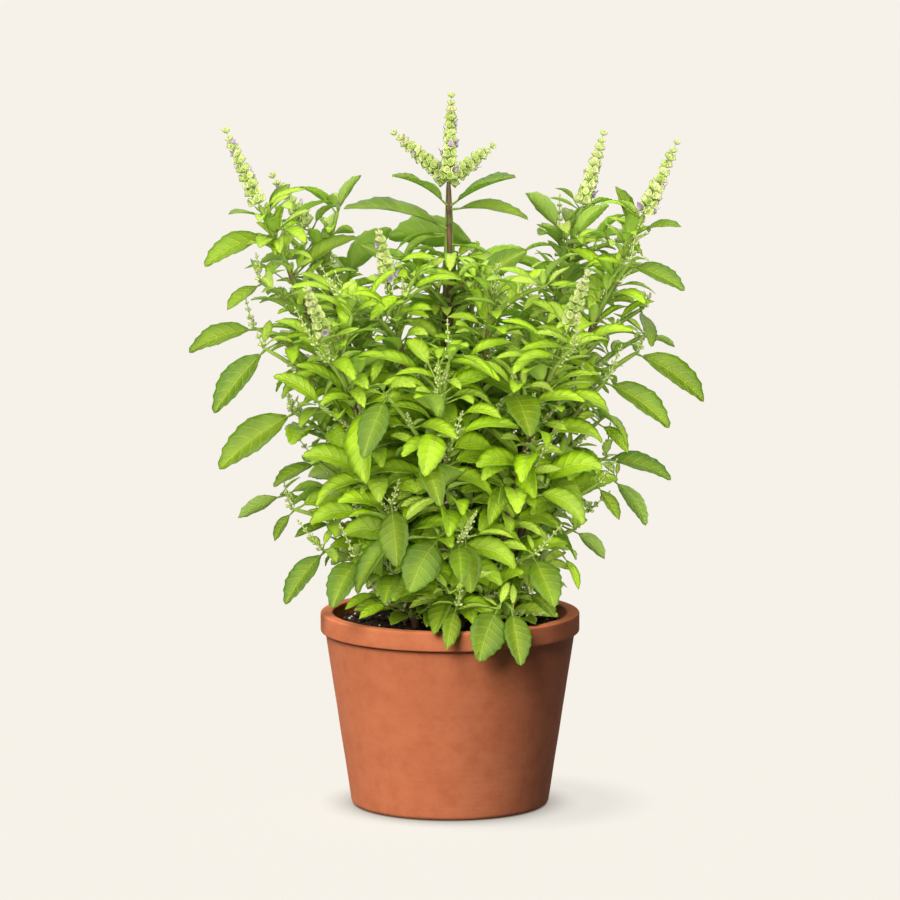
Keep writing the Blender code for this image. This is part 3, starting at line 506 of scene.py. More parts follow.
def crumbled(x, y):
    """The soil's height with its lumps and crumbs."""
    lumps = noise.noise((0.09 * x, 0.09 * y, 3.0)) * 1.1
    crumbs = abs(noise.noise((0.32 * x, 0.32 * y, 9.0))) * 1.9
    grit = abs(noise.noise((0.9 * x, 0.9 * y, 5.0))) * 0.8
    return soil_height(x, y) + lumps + crumbs + grit - 0.9


def soil_ring(radius, height):
    """A ring of points; the height is a number or a function of x and y."""
    ring = []
    for side in range(SOIL_SIDES):
        angle = math.tau * side / SOIL_SIDES
        x, y = radius * math.cos(angle), radius * math.sin(angle)
        ring.append((x, y, height(x, y) if callable(height) else height))
    return ring


def soil_points():
    """The soil's points: the surface from its middle outwards, then the side down to the foot."""
    edge = inner_radius(SOIL_TOP - 1.5) - SOIL_GAP
    points = [(0.0, 0.0, crumbled(0.0, 0.0))]
    for ring in range(1, SOIL_RINGS + 1):
        sink = SINK * max(0.0, (ring / SOIL_RINGS - SINK_FROM) / 0.1)
        points += soil_ring(edge * ring / SOIL_RINGS, lambda x, y: crumbled(x, y) - sink)
    foot = inner_radius(FLOOR) - 3.2
    for radius, height in ((edge - 0.4, 60.0), (foot, FLOOR + 3), (foot - 3, FLOOR + SOIL_GAP)):
        points += soil_ring(min(radius, inner_radius(height) - SOIL_GAP), height)
    return points + [(0.0, 0.0, FLOOR + SOIL_GAP)]


def soil_faces(last):
    """The faces between the soil's rings; last is the number of the last point."""
    faces = []
    for side in range(SOIL_SIDES):
        after = (side + 1) % SOIL_SIDES
        faces.append((0, 1 + side, 1 + after))
        for ring in range(SOIL_RINGS + 2):
            low = 1 + ring * SOIL_SIDES
            high = low + SOIL_SIDES
            faces.append((low + side, high + side, high + after, low + after))
        foot = 1 + (SOIL_RINGS + 2) * SOIL_SIDES
        faces.append((foot + side, last, foot + after))
    return faces


def make_soil():
    """The piece with the bed of soil."""
    points = soil_points()
    bundle = Bundle()
    bundle.add(points, soil_faces(len(points) - 1), (0.0, 0.0, 0.0))
    return bundle.make("soil_bed", soil_material, ["soil"])


soil = make_soil()
print("soil triangles:", triangles(soil))

# %% [markdown]
# ## Crumbs, bark and perlite
# On the real surface loose bits catch the light: crumbs of soil, splinters of bark and the white
# grains of perlite that keep the mix airy. Scattered particles would be easy, but an export drops
# them, so each bit is a small uneven closed stone of its own, a lump whose points are pushed in and
# out, half sunk in the soil.

# %% Scatter the bits
WALL_FREE = 3.0
PERLITE_PIT = (0.62, 0.58, 0.52)
PERLITE_WHITE = (0.86, 0.84, 0.80)


def lump(size, squash, dice, detail=1):
    """An uneven closed stone: a round net of points pushed in and out."""
    ball = bmesh.new()
    bmesh.ops.create_icosphere(ball, subdivisions=detail, radius=1.0)
    shift = Vector((dice.uniform(0, 50), dice.uniform(0, 50), dice.uniform(0, 50)))
    turn = Matrix.Rotation(dice.uniform(0, math.tau), 3, "Z")
    turn = turn @ Matrix.Rotation(dice.uniform(-0.5, 0.5), 3, "X")
    points = []
    for corner in ball.verts:
        reach = size * (1.0 + 0.45 * noise.noise(corner.co * 1.7 + shift))
        point = corner.co * reach
        points.append(turn @ Vector((point.x, point.y * squash[0], point.z * squash[1])))
    faces = [tuple(corner.index for corner in face.verts) for face in ball.faces]
    ball.free()
    return points, faces


def scatter(name, material, count, sizes, squash, seed, detail=1):
    """Scatters lumps over the soil, clear of the pot's wall."""
    dice = random.Random(seed)
    bundle = Bundle()
    limit = inner_radius(SOIL_TOP) - WALL_FREE
    for _ in range(count):
        angle = dice.uniform(0, math.tau)
        radius = limit * math.sqrt(dice.random())
        x, y = radius * math.cos(angle), radius * math.sin(angle)
        size = sizes[0] + (sizes[1] - sizes[0]) * dice.random() ** 2
        points, faces = lump(size, squash, dice, detail)
        place = Vector((x, y, crumbled(x, y) + 0.25 * size))
        bundle.add([point + place for point in points], faces, (dice.random(), 0.0, 0.0))
    return bundle.make(name, material)


def perlite_finish():
    """White pitted grains."""
    finish = Finish("perlite")
    pits = finish.cells(1900.0)
    colour = finish.mix(PERLITE_PIT, PERLITE_WHITE, pits.step(0.1, 0.5))
    return finish.finish(Base_Color=colour, Roughness=0.82, Normal=finish.bump(pits, 0.0003, 0.6))


crumbs = scatter("soil_crumbs", soil_material, 900, (0.7, 2.6), (0.85, 0.7), 11)
bark = scatter("soil_bark", soil_material, 160, (1.2, 3.6), (0.4, 0.28), 12)
perlite = scatter("perlite", perlite_finish(), 95, (0.6, 1.5), (0.9, 0.8), 13, 2)
print("loose bits:", triangles(crumbs) + triangles(bark) + triangles(perlite))

# %% [markdown]
# ## The rule of growth
# A bush like this could be built leaf by leaf, or by scattering one leaf at random. The plant
# itself does neither: its leaves stand in opposite pairs on nodes, each pair turned a quarter from
# the last, and side shoots grow out of the leaf corners. So the script grows it the same way.
# First come the sixteen stems, by foot and tip. Then come the side shoots and leaves that reach
# the edge of the bush, where the photograph shows them.

# %% Stems
# Foot on the soil, tip in the air, radius at the foot, length of the flower spike and how far the
# spike leans to the side, as a share of its rise
STEMS = {
    "middle": ((2, 5), (-1, 5, 434), 2.8, 62, 0.05),
    "left_1": ((-32, 0), (-131, -2, 418), 2.7, 60, 0.0),
    "left_2": ((-26, 17), (-98, 42, 398), 2.5, 48, -0.35),
    "left_3": ((-8, 17), (-1, 18, 432), 2.4, 54, -1.2),
    "right_1": ((12, 27), (-1, 29, 430), 2.4, 44, 1.3),
    "right_2": ((29, 18), (92, 34, 414), 2.5, 56, 0.0),
    "right_3": ((34, -3), (133, -6, 412), 2.7, 58, 0.0),
    "front_1": ((-24, -23), (-84, -88, 338), 2.4, 42, 0.0),
    "front_2": ((-2, -33), (-8, -112, 322), 2.4, 0, 0.0),
    "front_3": ((23, -25), (80, -90, 346), 2.4, 44, 0.0),
    "front_4": ((8, -15), (32, -56, 384), 2.4, 0, 0.0),
    "front_5": ((-9, -14), (-42, -50, 370), 2.4, 40, 0.0),
    "back_1": ((-20, 31), (-78, 98, 346), 2.4, 44, 0.0),
    "back_2": ((2, 35), (4, 122, 336), 2.4, 0, 0.0),
    "back_3": ((22, 31), (80, 98, 348), 2.4, 46, 0.0),
    "back_4": ((3, 20), (16, 72, 348), 2.4, 40, 0.0),
}

# Stems whose topmost pairs are missing, with how many
BARE_PAIRS = {"middle": 3, "left_3": 2, "right_1": 2}
print("stems:", len(STEMS), "with a spike:", sum(stem[3] > 0 for stem in STEMS.values()))

# %% Reaches
# Stem, height at which the side shoot leaves it, the shoot's end and the tip of the leaf that
# grows on from there. A shoot's end of None puts the leaf straight on the stem. A last number is
# the width of a leaf that isn't slim, as a share of its length.
REACHES = (
    ("middle", 401, None, (-72, -6, 417)),
    ("middle", 415, None, (53, -4, 409)),
    ("middle", 417, None, (-39, -22, 440), 0.40),
    ("middle", 417, None, (44, -20, 439), 0.40),
    ("left_1", 398, None, (-168, -18, 378)),
    ("left_1", 408, None, (-110, 12, 431)),
    ("left_1", 410, None, (-151, -26, 414)),
    ("left_1", 330, (-131, -14, 367), (-152, -34, 350)),
    ("left_1", 290, (-136, 4, 333), (-180, 0, 317)),
    ("left_1", 268, (-129, -12, 321), (-162, -22, 278)),
    ("left_1", 226, (-109, -22, 278), (-158, -34, 241)),
    ("left_1", 194, (-92, -12, 242), (-121, -30, 227)),
    ("left_1", 168, (-110, -8, 208), (-121, -10, 186)),
    ("left_2", 172, (-118, 20, 214), (-147, 18, 198)),
    ("left_2", 150, (-82, 4, 198), (-107, -6, 188)),
    ("left_1", 152, (-88, -26, 182), (-113, -44, 148)),
    ("front_1", 156, (-64, -60, 182), (-80, -86, 152), 0.46),
    ("left_2", 372, None, (-132, 60, 372)),
    ("left_2", 366, (-78, 46, 410), (-62, 50, 434)),
    ("right_3", 400, None, (158, -22, 405)),
    ("right_3", 396, None, (114, 8, 430)),
    ("right_3", 340, (124, -14, 380), (160, -30, 363)),
    ("right_3", 308, (134, 8, 346), (138, -26, 324)),
    ("right_3", 282, (136, 20, 326), (156, 32, 316)),
    ("right_3", 262, (130, -10, 318), (175, -14, 285)),
    ("right_3", 236, (108, -24, 300), (150, -40, 270)),
    ("right_3", 214, (104, 4, 268), (123, 0, 246), 0.46),
    ("right_3", 196, (108, 4, 242), (153, 0, 228)),
    ("right_2", 176, (116, 30, 224), (137, 38, 190)),
    ("right_3", 170, (103, -22, 228), (116, -36, 205)),
    ("right_2", 150, (88, 30, 188), (108, 36, 166)),
    ("right_3", 146, (80, 0, 176), (89, -4, 151)),
    ("front_3", 156, (58, -58, 184), (71, -86, 153), 0.46),
    ("right_2", 366, (76, 40, 398), (53, 44, 422), 0.46),
    ("right_2", 380, None, (122, 60, 392)),
    ("front_2", 142, (5, -80, 152), (-2, -101, 126)),
    ("front_4", 138, (34, -78, 150), (20, -102, 118), 0.56),
    ("front_4", 148, (43, -74, 148), (48, -99, 115), 0.42),
    ("front_5", 152, (-38, -66, 172), (-44, -104, 158)),
    ("back_2", 146, (10, 72, 160), (16, 104, 136)),
    ("back_1", 144, (-34, 66, 162), (-52, 96, 140)),
    ("front_1", 286, None, (-56, -108, 241), 0.50),
    ("front_2", 276, None, (-17, -120, 247), 0.54),
    ("front_1", 190, (-40, -78, 222), (-36, -100, 183), 0.48),
    ("front_2", 170, (-8, -84, 200), (-27, -104, 166), 0.58),
    ("front_4", 175, (10, -84, 200), (14, -106, 166), 0.42),
    ("front_2", 232, (-44, -100, 300), (-58, -132, 262)),
    ("front_2", 196, (-20, -96, 262), (-14, -136, 238)),
    ("front_4", 250, (44, -86, 300), (54, -128, 276), 0.44),
    ("front_1", 158, (-44, -84, 196), (-52, -118, 172)),
    ("front_3", 158, (48, -84, 194), (58, -116, 168), 0.44),
    ("front_2", 160, (6, -92, 198), (8, -126, 176)),
    ("back_3", 158, (48, 84, 194), (58, 116, 168), 0.44),
    ("back_1", 170, (-48, 84, 206), (-62, 114, 182), 0.44),
    ("back_2", 164, (0, 92, 206), (-4, 126, 182), 0.44),
)
print("reaches:", len(REACHES))

# %% Outline
# Half the width of the bush at some heights, apart from what is in REACHES. No leaf of a side
# stem comes up beside the top of the middle stem.
OUTLINE = ((112, 70), (150, 88), (180, 100), (212, 114), (250, 124), (285, 127),
           (320, 134), (350, 142), (395, 142), (412, 136), (428, 110), (445, 60))
GAP_HALF = 58.0
GAP_FLOOR = 385.0


def outline_radius(height):
    """Half the width of the bush at a height."""
    if height <= OUTLINE[0][0]:
        return 0.0
    for (low, low_width), (high, high_width) in zip(OUTLINE, OUTLINE[1:]):
        if height <= high:
            return low_width + (high_width - low_width) * (height - low) / (high - low)
    return 0.0


def inside_outline(point):
    """Says whether a point lies within the bush's outline."""
    if abs(point.x) < GAP_HALF and point.z > GAP_FLOOR:
        return False
    return math.hypot(point.x, point.y) <= outline_radius(point.z)


print("the bush is", 2 * round(outline_radius(300)), "mm wide at a height of 300 mm")

# %% [markdown]
# ## A leaf and its place
# A leaf is known by its root, the way it sets out, its length and how it arches, rolls and folds.
# Body gives a rough closed shape of it, a little too fat. Before a leaf is accepted, that shape is
# tested against everything already grown, with a tree of bounding boxes. This is how real leaves
# come to fill the gaps instead of growing through each other.

# %% Leaf
SLIM = 0.36
SPINE_STEPS = 12

# The rough shape: radius and flatness of its stalk, where the stalk's test begins, thickness of the
# blade, rows at shares of a big or small blade's length, and how much its teeth stick out
PETIOLE = 0.75
PETIOLE_FLAT = 0.85
PETIOLE_FREE = 0.35
BLADE_THICKNESS = 1.3
BIG_LEAF = 40.0
BIG_ROWS = (0.20, 0.50, 0.80)
SMALL_ROWS = (0.30, 0.70)
TOOTH = 1.03


def blade_width(u):
    """Half the blade's width at a share of its length, as a share of the most."""
    return np.sin(np.pi * u ** 0.86) ** 0.78


class Leaf:
    """A leaf: where it is rooted, which way it grows, and how it arches."""

    def __init__(self, root, azimuth, pitch, length, petiole, arch, roll=0.0, bend=0.0, fold=20.0,
                 broad=SLIM):
        self.root = root
        self.azimuth = azimuth
        self.pitch = pitch
        self.length = length
        self.petiole = petiole
        self.arch = arch
        self.roll = roll
        self.bend = bend
        self.fold = fold
        self.broad = broad
        self.width = length * broad
        self.young = 0.0
        self.tone = 0.5

    def changed(self, turn, tilt, size):
        """The same leaf turned, tilted and scaled."""
        return Leaf(self.root, self.azimuth + turn, self.pitch + tilt, self.length * size,
                    self.petiole, self.arch, self.roll, self.bend, self.fold, self.broad)

    def heading(self, u):
        """The blade's forward, left and upper directions at a share of its length."""
        azimuth = math.radians(self.azimuth + self.bend * u)
        pitch = math.radians(self.pitch - self.arch * u)
        roll = math.radians(self.roll)
        ahead = Vector((math.cos(azimuth), math.sin(azimuth), 0.0))
        level = Vector((-math.sin(azimuth), math.cos(azimuth), 0.0))
        forward = ahead * math.cos(pitch) + UP * math.sin(pitch)
        upright = UP * math.cos(pitch) - ahead * math.sin(pitch)
        left = level * math.cos(roll) + upright * math.sin(roll)
        above = upright * math.cos(roll) - level * math.sin(roll)
        return forward, left, above

    def spine(self, u):
        """The point of the midrib at a share of the blade's length."""
        steps = max(1, round(u * SPINE_STEPS))
        point = self.root + self.heading(0.0)[0] * self.petiole
        for step in range(steps):
            point = point + self.heading((step + 0.5) * u / steps)[0] * (self.length * u / steps)
        return point

    def ring(self, u, half_width, half_thickness):
        """Four points round the blade: left edge, top, right edge and bottom."""
        _, left, above = self.heading(u)
        middle = self.spine(u)
        fold = math.radians(self.fold) * min(1.0, half_width / 4)
        out = left * (half_width * math.cos(fold))
        lift = above * (half_width * math.sin(fold))
        return [middle + out + lift, middle + above * half_thickness,
                middle - out + lift, middle - above * half_thickness]

    def body(self, clear):
        """A rough closed shape of the leaf, made fatter to test for room."""
        rows = BIG_ROWS if self.length >= BIG_LEAF else SMALL_ROWS
        forward, left, above = self.heading(0.0)
        stalk = PETIOLE + clear
        flat = stalk * PETIOLE_FLAT
        corners = (left * stalk, above * flat, left * -stalk, above * -flat)
        start = self.root + forward * (PETIOLE_FREE * self.petiole)
        points = [start + corner for corner in corners]
        points += [self.spine(0.0) + corner * PETIOLE_FLAT for corner in corners]
        for u in rows:
            half = self.width / 2 * float(blade_width(u)) * TOOTH + clear
            points += self.ring(u, half, BLADE_THICKNESS / 2 + clear)
        points.append(self.spine(1.0) + self.heading(1.0)[0] * clear)
        tip = len(points) - 1
        faces = [(0, 1, 2), (0, 2, 3)]
        for a in range(0, tip - 4, 4):
            b = a + 4
            for edge in (0, 2):
                for face in (1, 3):
                    faces += [(a + edge, a + face, b + face), (a + edge, b + face, b + edge)]
        for edge in (0, 2):
            for face in (1, 3):
                faces.append((tip - 4 + edge, tip - 4 + face, tip))
        return points, faces


sample = Leaf(Vector(), 0.0, 20.0, 50.0, 10.0, 60.0)
print("a leaf of 50 mm ends at", [round(value, 1) for value in sample.spine(1.0)])

# %% Room


class Room:
    """What has grown, and whether there is room for more."""

    MOST = 9000

    def __init__(self):
        self.trees = []
        self.owners = []
        self.middles = np.zeros((self.MOST, 3))
        self.reaches = np.zeros(self.MOST)

    def add(self, shape, owner):
        """Adds a shape that belongs to an owner."""
        points, faces = shape
        middle = sum(points, Vector()) / len(points)
        count = len(self.trees)
        self.middles[count] = middle
        self.reaches[count] = max((point - middle).length for point in points)
        self.trees.append(BVHTree.FromPolygons(points, faces))
        self.owners.append(owner)

    def is_free(self, shape, owner):
        """Says whether a shape crosses nothing, apart from what belongs to its owner."""
        points, faces = shape
        middle = sum(points, Vector()) / len(points)
        reach = max((point - middle).length for point in points)
        tree = BVHTree.FromPolygons(points, faces)
        count = len(self.trees)
        apart = np.linalg.norm(self.middles[:count] - np.array(middle), axis=1)
        for number in np.nonzero(apart <= reach + self.reaches[:count])[0]:
            if self.owners[number] != owner and tree.overlap(self.trees[number]):
                return False
        return True


room = Room()
print("shapes that have grown:", len(room.trees))

# %% [markdown]
# ## Stems and shoots
# A stem stands upright in its hole in the soil, then bends outwards to its tip. A side shoot
# leaves it in a leaf corner and bends up. Both know their path, so anything can be rooted at a
# length along them, and the stem keeps the list of its shoots and of all their leaves.

# %% Path


class Path:
    """A line through points, measured along its length."""

    def __init__(self, points):
        self.points = points
        self.lengths = [0.0]
        for start, end in zip(points, points[1:]):
            self.lengths.append(self.lengths[-1] + (end - start).length)
        self.length = self.lengths[-1]

    def at(self, along):
        """The point and the direction at a length along the path."""
        along = min(max(along, 0.0), self.length)
        for number, end in enumerate(self.lengths[1:]):
            if along <= end or number == len(self.points) - 2:
                start = self.lengths[number]
                step = self.points[number + 1] - self.points[number]
                share = (along - start) / (end - start)
                return self.points[number] + step * share, step.normalized()

    def at_height(self, height):
        """The length along the path at which it first reaches a height."""
        for number, point in enumerate(self.points[1:]):
            if point.z >= height:
                before = self.points[number].z
                share = (height - before) / (point.z - before)
                low, high = self.lengths[number:number + 2]
                return low + share * (high - low)
        return self.length


def curve(bend, share):
    """The point at a share of a smooth bend, which has a start, a middle and an end."""
    start, middle, end = bend
    return start * (1 - share) ** 2 + middle * (2 * share * (1 - share)) + end * share ** 2


def bent(bend, steps):
    """Points along a smooth bend from its start to its end."""
    return [curve(bend, step / steps) for step in range(steps + 1)]


sample = Path(bent((Vector(), Vector((0, 0, 50)), Vector((50, 0, 100))), 4))
print("a bend of five points is", round(sample.length, 1), "mm long")

# %% Side shoot
SHOOT_RADIUS = 1.9
SHOOT_END = 1.45
SHOOT_STEPS = 2
SHOOT_POINTS = 4

# A shoot is tested from here on, past the stem that it grows from
SHOOT_FREE = 5.0


def tube_triangles(points, sides):
    """Faces of a closed rough tube over rings of points: two caps, and triangles between them."""
    last = len(points) - sides
    faces = [tuple(range(sides)), tuple(range(last, last + sides))]
    for ring in range(0, last, sides):
        for corner in range(sides):
            here = ring + corner
            after = ring + (corner + 1) % sides
            faces += [(here, after, after + sides), (here, after + sides, here + sides)]
    return faces


def square_tube(points, radii, normal):
    """A closed square tube along points that lie in the plane across the normal."""
    corners = []
    for number, point in enumerate(points):
        before = points[max(number - 1, 0)]
        after = points[min(number + 1, len(points) - 1)]
        side = normal * (radii[number] * math.sqrt(0.5))
        other = (after - before).normalized().cross(normal) * (radii[number] * math.sqrt(0.5))
        corners += [point + side + other, point - side + other,
                    point - side - other, point + side - other]
    return corners, tube_triangles(corners, 4)


class Shoot:
    """A side shoot: a thin stem that grows from a main stem."""

    def __init__(self, root, direction, end):
        distance = (end - root).length
        self.bend = (root, root + direction * (0.5 * distance), end)
        self.path = Path(bent(self.bend, SHOOT_POINTS))
        self.normal = direction.cross(end - root).normalized()
        self.nodes = []

    def radius(self, along):
        """The shoot's radius at a length along it."""
        return SHOOT_RADIUS + (SHOOT_END - SHOOT_RADIUS) * along / self.path.length

    def body(self, clear=0.0):
        """A rough closed shape of the shoot."""
        first = SHOOT_FREE if clear else 0.0
        steps = range(SHOOT_STEPS + 1)
        places = [first + (self.path.length - first) * step / SHOOT_STEPS for step in steps]
        points = [self.path.at(place)[0] for place in places]
        return square_tube(points, [self.radius(place) + clear for place in places], self.normal)


sample = Shoot(Vector(), UP, Vector((40, 0, 30)))
print("a side shoot is", round(sample.path.length, 1), "mm long")

# %% Stem
HOLE_DEPTH = 26.0
SEAT = 0.3
STEM_END = 1.6
STEM_STEPS = 6
STEM_POINTS = 9

# A stem stands upright up to STRAIGHT above the soil, then bends at its knee, a share of the way
# out and of the way up. Its rough shape bends from BODY_STRAIGHT on.
STRAIGHT = 3
BODY_STRAIGHT = 2.0
KNEE_OUT = 0.34
KNEE_UP = 0.52

# A side shoot leaves its stem a little upward
SHOOT_UP = 0.35
SHOOT_ALONG = 0.2

# Room wanted round a new leaf or shoot, and the share of it that a grown leaf keeps free
CLEAR = 0.7
GROWN_SHARE = 0.3

# What a leaf or a shoot that has no room tries
SIZES = (1.0, 0.86, 0.72)
TURNS = (14, 28, 44)
TILTS = (0, 14, -14, 26)
SHOOT_TRIES = 14
SHOOT_STRAY = 3.0


class Stem:
    """A leafy stem with its side shoots and leaves."""

    def __init__(self, name):
        self.name = name
        foot, tip, self.base_radius, self.spike, self.spike_lean = STEMS[name]
        ground = Vector((foot[0], foot[1], SOIL_TOP + STRAIGHT))
        low = Vector((foot[0], foot[1], SOIL_TOP - HOLE_DEPTH + SEAT))
        lean = Vector(tip) - ground
        knee = ground + Vector((KNEE_OUT * lean.x, KNEE_OUT * lean.y, KNEE_UP * lean.z))
        self.bend = (ground, knee, Vector(tip))
        self.path = Path([low] + bent(self.bend, STEM_POINTS))
        self.shoots = []
        self.leaves = []
        self.nodes = []
        self.owner = name

    def radius(self, along):
        """The stem's radius at a length along it."""
        share = max(0.0, along - HOLE_DEPTH) / (self.path.length - HOLE_DEPTH)
        return self.base_radius + (STEM_END - self.base_radius) * share

    def body(self):
        """A rough closed shape of the bare stem."""
        ground = HOLE_DEPTH + BODY_STRAIGHT
        rise = self.path.length - ground
        places = [0.0] + [ground + rise * step / STEM_STEPS for step in range(STEM_STEPS + 1)]
        points = [self.path.at(place)[0] for place in places]
        radii = [self.radius(place) for place in places]
        lean = self.path.points[-1] - self.path.points[0]
        return square_tube(points, radii, UP.cross(lean).normalized())

    def tries(self, seed):
        """Changes of azimuth, pitch and length, the smallest first."""
        dice = random.Random(f"{self.name} {seed}")
        changes = [(0, 0, 1.0)]
        for size in SIZES:
            for turn in TURNS:
                for tilt in TILTS:
                    sign = dice.choice((-1, 1))
                    changes += [(sign * turn, tilt, size), (-sign * turn, tilt, size)]
        return changes

    def place_leaf(self, leaf, parent, seed, free=False, young=0.0, most=None, clear=CLEAR):
        """Puts a leaf where there is room; a free leaf may leave the outline."""
        for change in self.tries(seed)[:most]:
            trial = leaf.changed(*change)
            if not free and not inside_outline(trial.spine(1.0)):
                continue
            if room.is_free(trial.body(clear), parent.owner):
                trial.young = young
                self.leaves.append(trial)
                room.add(trial.body(clear * GROWN_SHARE), trial)
                return

    def place_shoot(self, along, end, seed):
        """Puts a side shoot where there is room, and returns it."""
        root, direction = self.path.at(along)
        dice = random.Random(f"{self.name} {seed}")
        for step in range(SHOOT_TRIES):
            stray = Vector([dice.uniform(-1, 1) for _ in range(3)]) * (SHOOT_STRAY * step)
            goal = end + stray
            out = (goal - root).normalized()
            shoot = Shoot(root, (out + UP * SHOOT_UP + direction * SHOOT_ALONG).normalized(), goal)
            shoot.owner = (self.name, seed)
            if room.is_free(shoot.body(CLEAR), self.owner):
                self.shoots.append(shoot)
                self.nodes.append(along)
                room.add(shoot.body(), shoot.owner)
                return shoot
        return None


stems = {name: Stem(name) for name in STEMS}
print("longest stem:", round(max(stem.path.length for stem in stems.values())), "mm")

# %% [markdown]
# ## Room for the flower spikes
# The flower spikes are solids of their own, and leaves keep out of them. So before any leaf grows,
# the room gets the pot, the soil, the bare stems and a rough shape of each spike. The spike's axis
# bends up a little, and the flowers further on are set along the same axis.

# %% Room for the flower spikes
# A whorl is a star of six cups with a waist above it
WHORL = 9.5
WHORL_PLACE = 0.55
WAIST_PLACE = 0.30
SPIKE_FOOT = 1.3
SPIKE_RADIUS = 6.4
SPIKE_TAPER = 0.45
SPIKE_STAR = 0.62
SPIKE_WAIST = 0.42
SPIKE_CURVE = 0.0006
SPIKE_CLEAR = 1.0
FEWEST_WHORLS = 4


def spike_rise(stem):
    """The direction in which a stem's flower spike sets out, and the point of its foot."""
    top, upward = stem.path.at(stem.path.length)
    direction = (upward + Vector((stem.spike_lean, 0.0, 0.0))).normalized()
    return direction, top + upward * (SEAT + SPIKE_FOOT * upward.cross(direction).length)


def spike_axis(stem, height):
    """The point of a flower spike's axis at a height above its foot."""
    direction, start = spike_rise(stem)
    return start + direction * height + UP * (SPIKE_CURVE * height * height)


def whorl_count(stem):
    """How many whorls a stem's flower spike has."""
    return max(FEWEST_WHORLS, round(stem.spike / WHORL))


def spike_body(stem, clear):
    """A rough closed shape of a flower spike: whorls one above another on a thin axis."""
    direction, _ = spike_rise(stem)
    side = direction.cross(Vector((0.3, 1.0, 0.1))).normalized()
    other = direction.cross(side)
    whorls = whorl_count(stem)
    rings = [(0.0, SPIKE_FOOT, 1.0, 0.0)]
    for whorl in range(whorls):
        size = SPIKE_RADIUS * (1.0 - SPIKE_TAPER * whorl / whorls)
        height = stem.spike * (whorl + WHORL_PLACE) / whorls
        turn = 0.5 * (whorl % 2)
        rings.append((height, size, SPIKE_STAR, turn))
        rings.append((height + WAIST_PLACE * stem.spike / whorls, size * SPIKE_WAIST, 1.0, turn))
    points = []
    for height, radius, star, turn in rings:
        middle = spike_axis(stem, height)
        for corner in range(6):
            angle = math.tau * (corner + turn) / 6
            reach = radius * (1.0 if corner % 2 == 0 else star) + clear
            points.append(middle + side * (math.cos(angle) * reach)
                          + other * (math.sin(angle) * reach))
    return points, tube_triangles(points, 6)


def solid_shape(name):
    """A solid of the frame as points in millimetres and faces."""
    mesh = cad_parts[name].data
    points = [corner.co / METRES for corner in mesh.vertices]
    return points, [tuple(face.vertices) for face in mesh.polygons]


def keep_room():
    """Adds the pot, the soil, the bare stems and the flower spikes to the room."""
    for name in ("pot", "soil"):
        room.add(solid_shape(name), name)
    for stem in stems.values():
        room.add(stem.body(), stem.owner)
        if stem.spike:
            room.add(spike_body(stem, SPIKE_CLEAR), stem.name + " spike")


keep_room()
print("shapes before the leaves:", len(room.trees))

# %% [markdown]
# ## Growing
# Light comes from outside the bush, so a leaf turns its upper face outwards and its tip hangs over.
# The order matters, because the first to grow has the most room: first the reaches, then the leaves
# near the tips, then side shoots, and the old leaves low on the stems last.

# %% Rules for leaves
# How leaves stand and how broad they are, as least and most
SWAY = (-10, 10)
ARCH = (48, 88)
ROLL = (22, 60)
BEND = (-14, 14)
FOLD = (14, 26)
BROAD = (0.38, 0.48)

# The same for a leaf that reaches to a given tip, with how far its arch bows its chord
REACH_ARCH = (16, 38)
REACH_ROLL = (34, 62)
REACH_BOW = 0.42
REACH_LENGTH = 1.03

# How far a blade's upper face turns away from the middle of the bush and to its front or back.
# What grows nearer than FRONT_DEPTH turns to the front.
OUT_FROM_MIDDLE = 0.6
OUT_FROM_FACE = 0.8
FRONT_DEPTH = 12.0
ROLL_FULL = 1.3

# Above SLIM_FROM, over the height SLIM_RISE, leaves get shorter, slimmer, flatter and less regular.
SLIM_FROM = 235.0
SLIM_RISE = 95.0
HIGH_SWAY = 1.4
HIGH_SHORT = 0.16
HIGH_STIFF = 0.35
HIGH_FLAT = 0.45
HIGH_SLIM = 0.20


def outward_roll(root, azimuth, tilt):
    """The roll that turns a leaf's upper face out of the bush, to the nearer of front and back."""
    out = Vector((root.x, root.y, 0.0)).normalized() * OUT_FROM_MIDDLE
    out.y += -OUT_FROM_FACE if root.y < FRONT_DEPTH else OUT_FROM_FACE
    left = Vector((-math.sin(math.radians(azimuth)), math.cos(math.radians(azimuth)), 0.0))
    return -tilt * max(-1.0, min(1.0, ROLL_FULL * left.dot(out)))


def free_leaf(root, azimuth, pitch, length, petiole, dice):
    """A leaf that grows its own way, arched down to its tip."""
    high = min(1.0, max(0.0, (root.z - SLIM_FROM) / SLIM_RISE))
    azimuth += dice.uniform(*SWAY) * (1 + HIGH_SWAY * high)
    return Leaf(root, azimuth, pitch + dice.uniform(*SWAY) * (1 + HIGH_SWAY * high),
                length * (1 - HIGH_SHORT * high), petiole,
                dice.uniform(*ARCH) * (1 - HIGH_STIFF * high),
                outward_roll(root, azimuth, dice.uniform(*ROLL)) * (1 - HIGH_FLAT * high),
                dice.uniform(*BEND), dice.uniform(*FOLD),
                dice.uniform(*BROAD) * (1 - HIGH_SLIM * high))


def towards(root, tip, petiole, broad, dice):
    """A leaf that grows from a root to a tip, with its chord bowed by its arch."""
    arch = dice.uniform(*REACH_ARCH)
    reach = tip - root
    azimuth = math.degrees(math.atan2(reach.y, reach.x))
    slope = math.degrees(math.atan2(reach.z, math.hypot(reach.x, reach.y)))
    length = reach.length * REACH_LENGTH - petiole
    return Leaf(root, azimuth, slope + REACH_BOW * arch, length, petiole, arch,
                outward_roll(root, azimuth, dice.uniform(*REACH_ROLL)), 0.0, dice.uniform(*FOLD),
                broad)


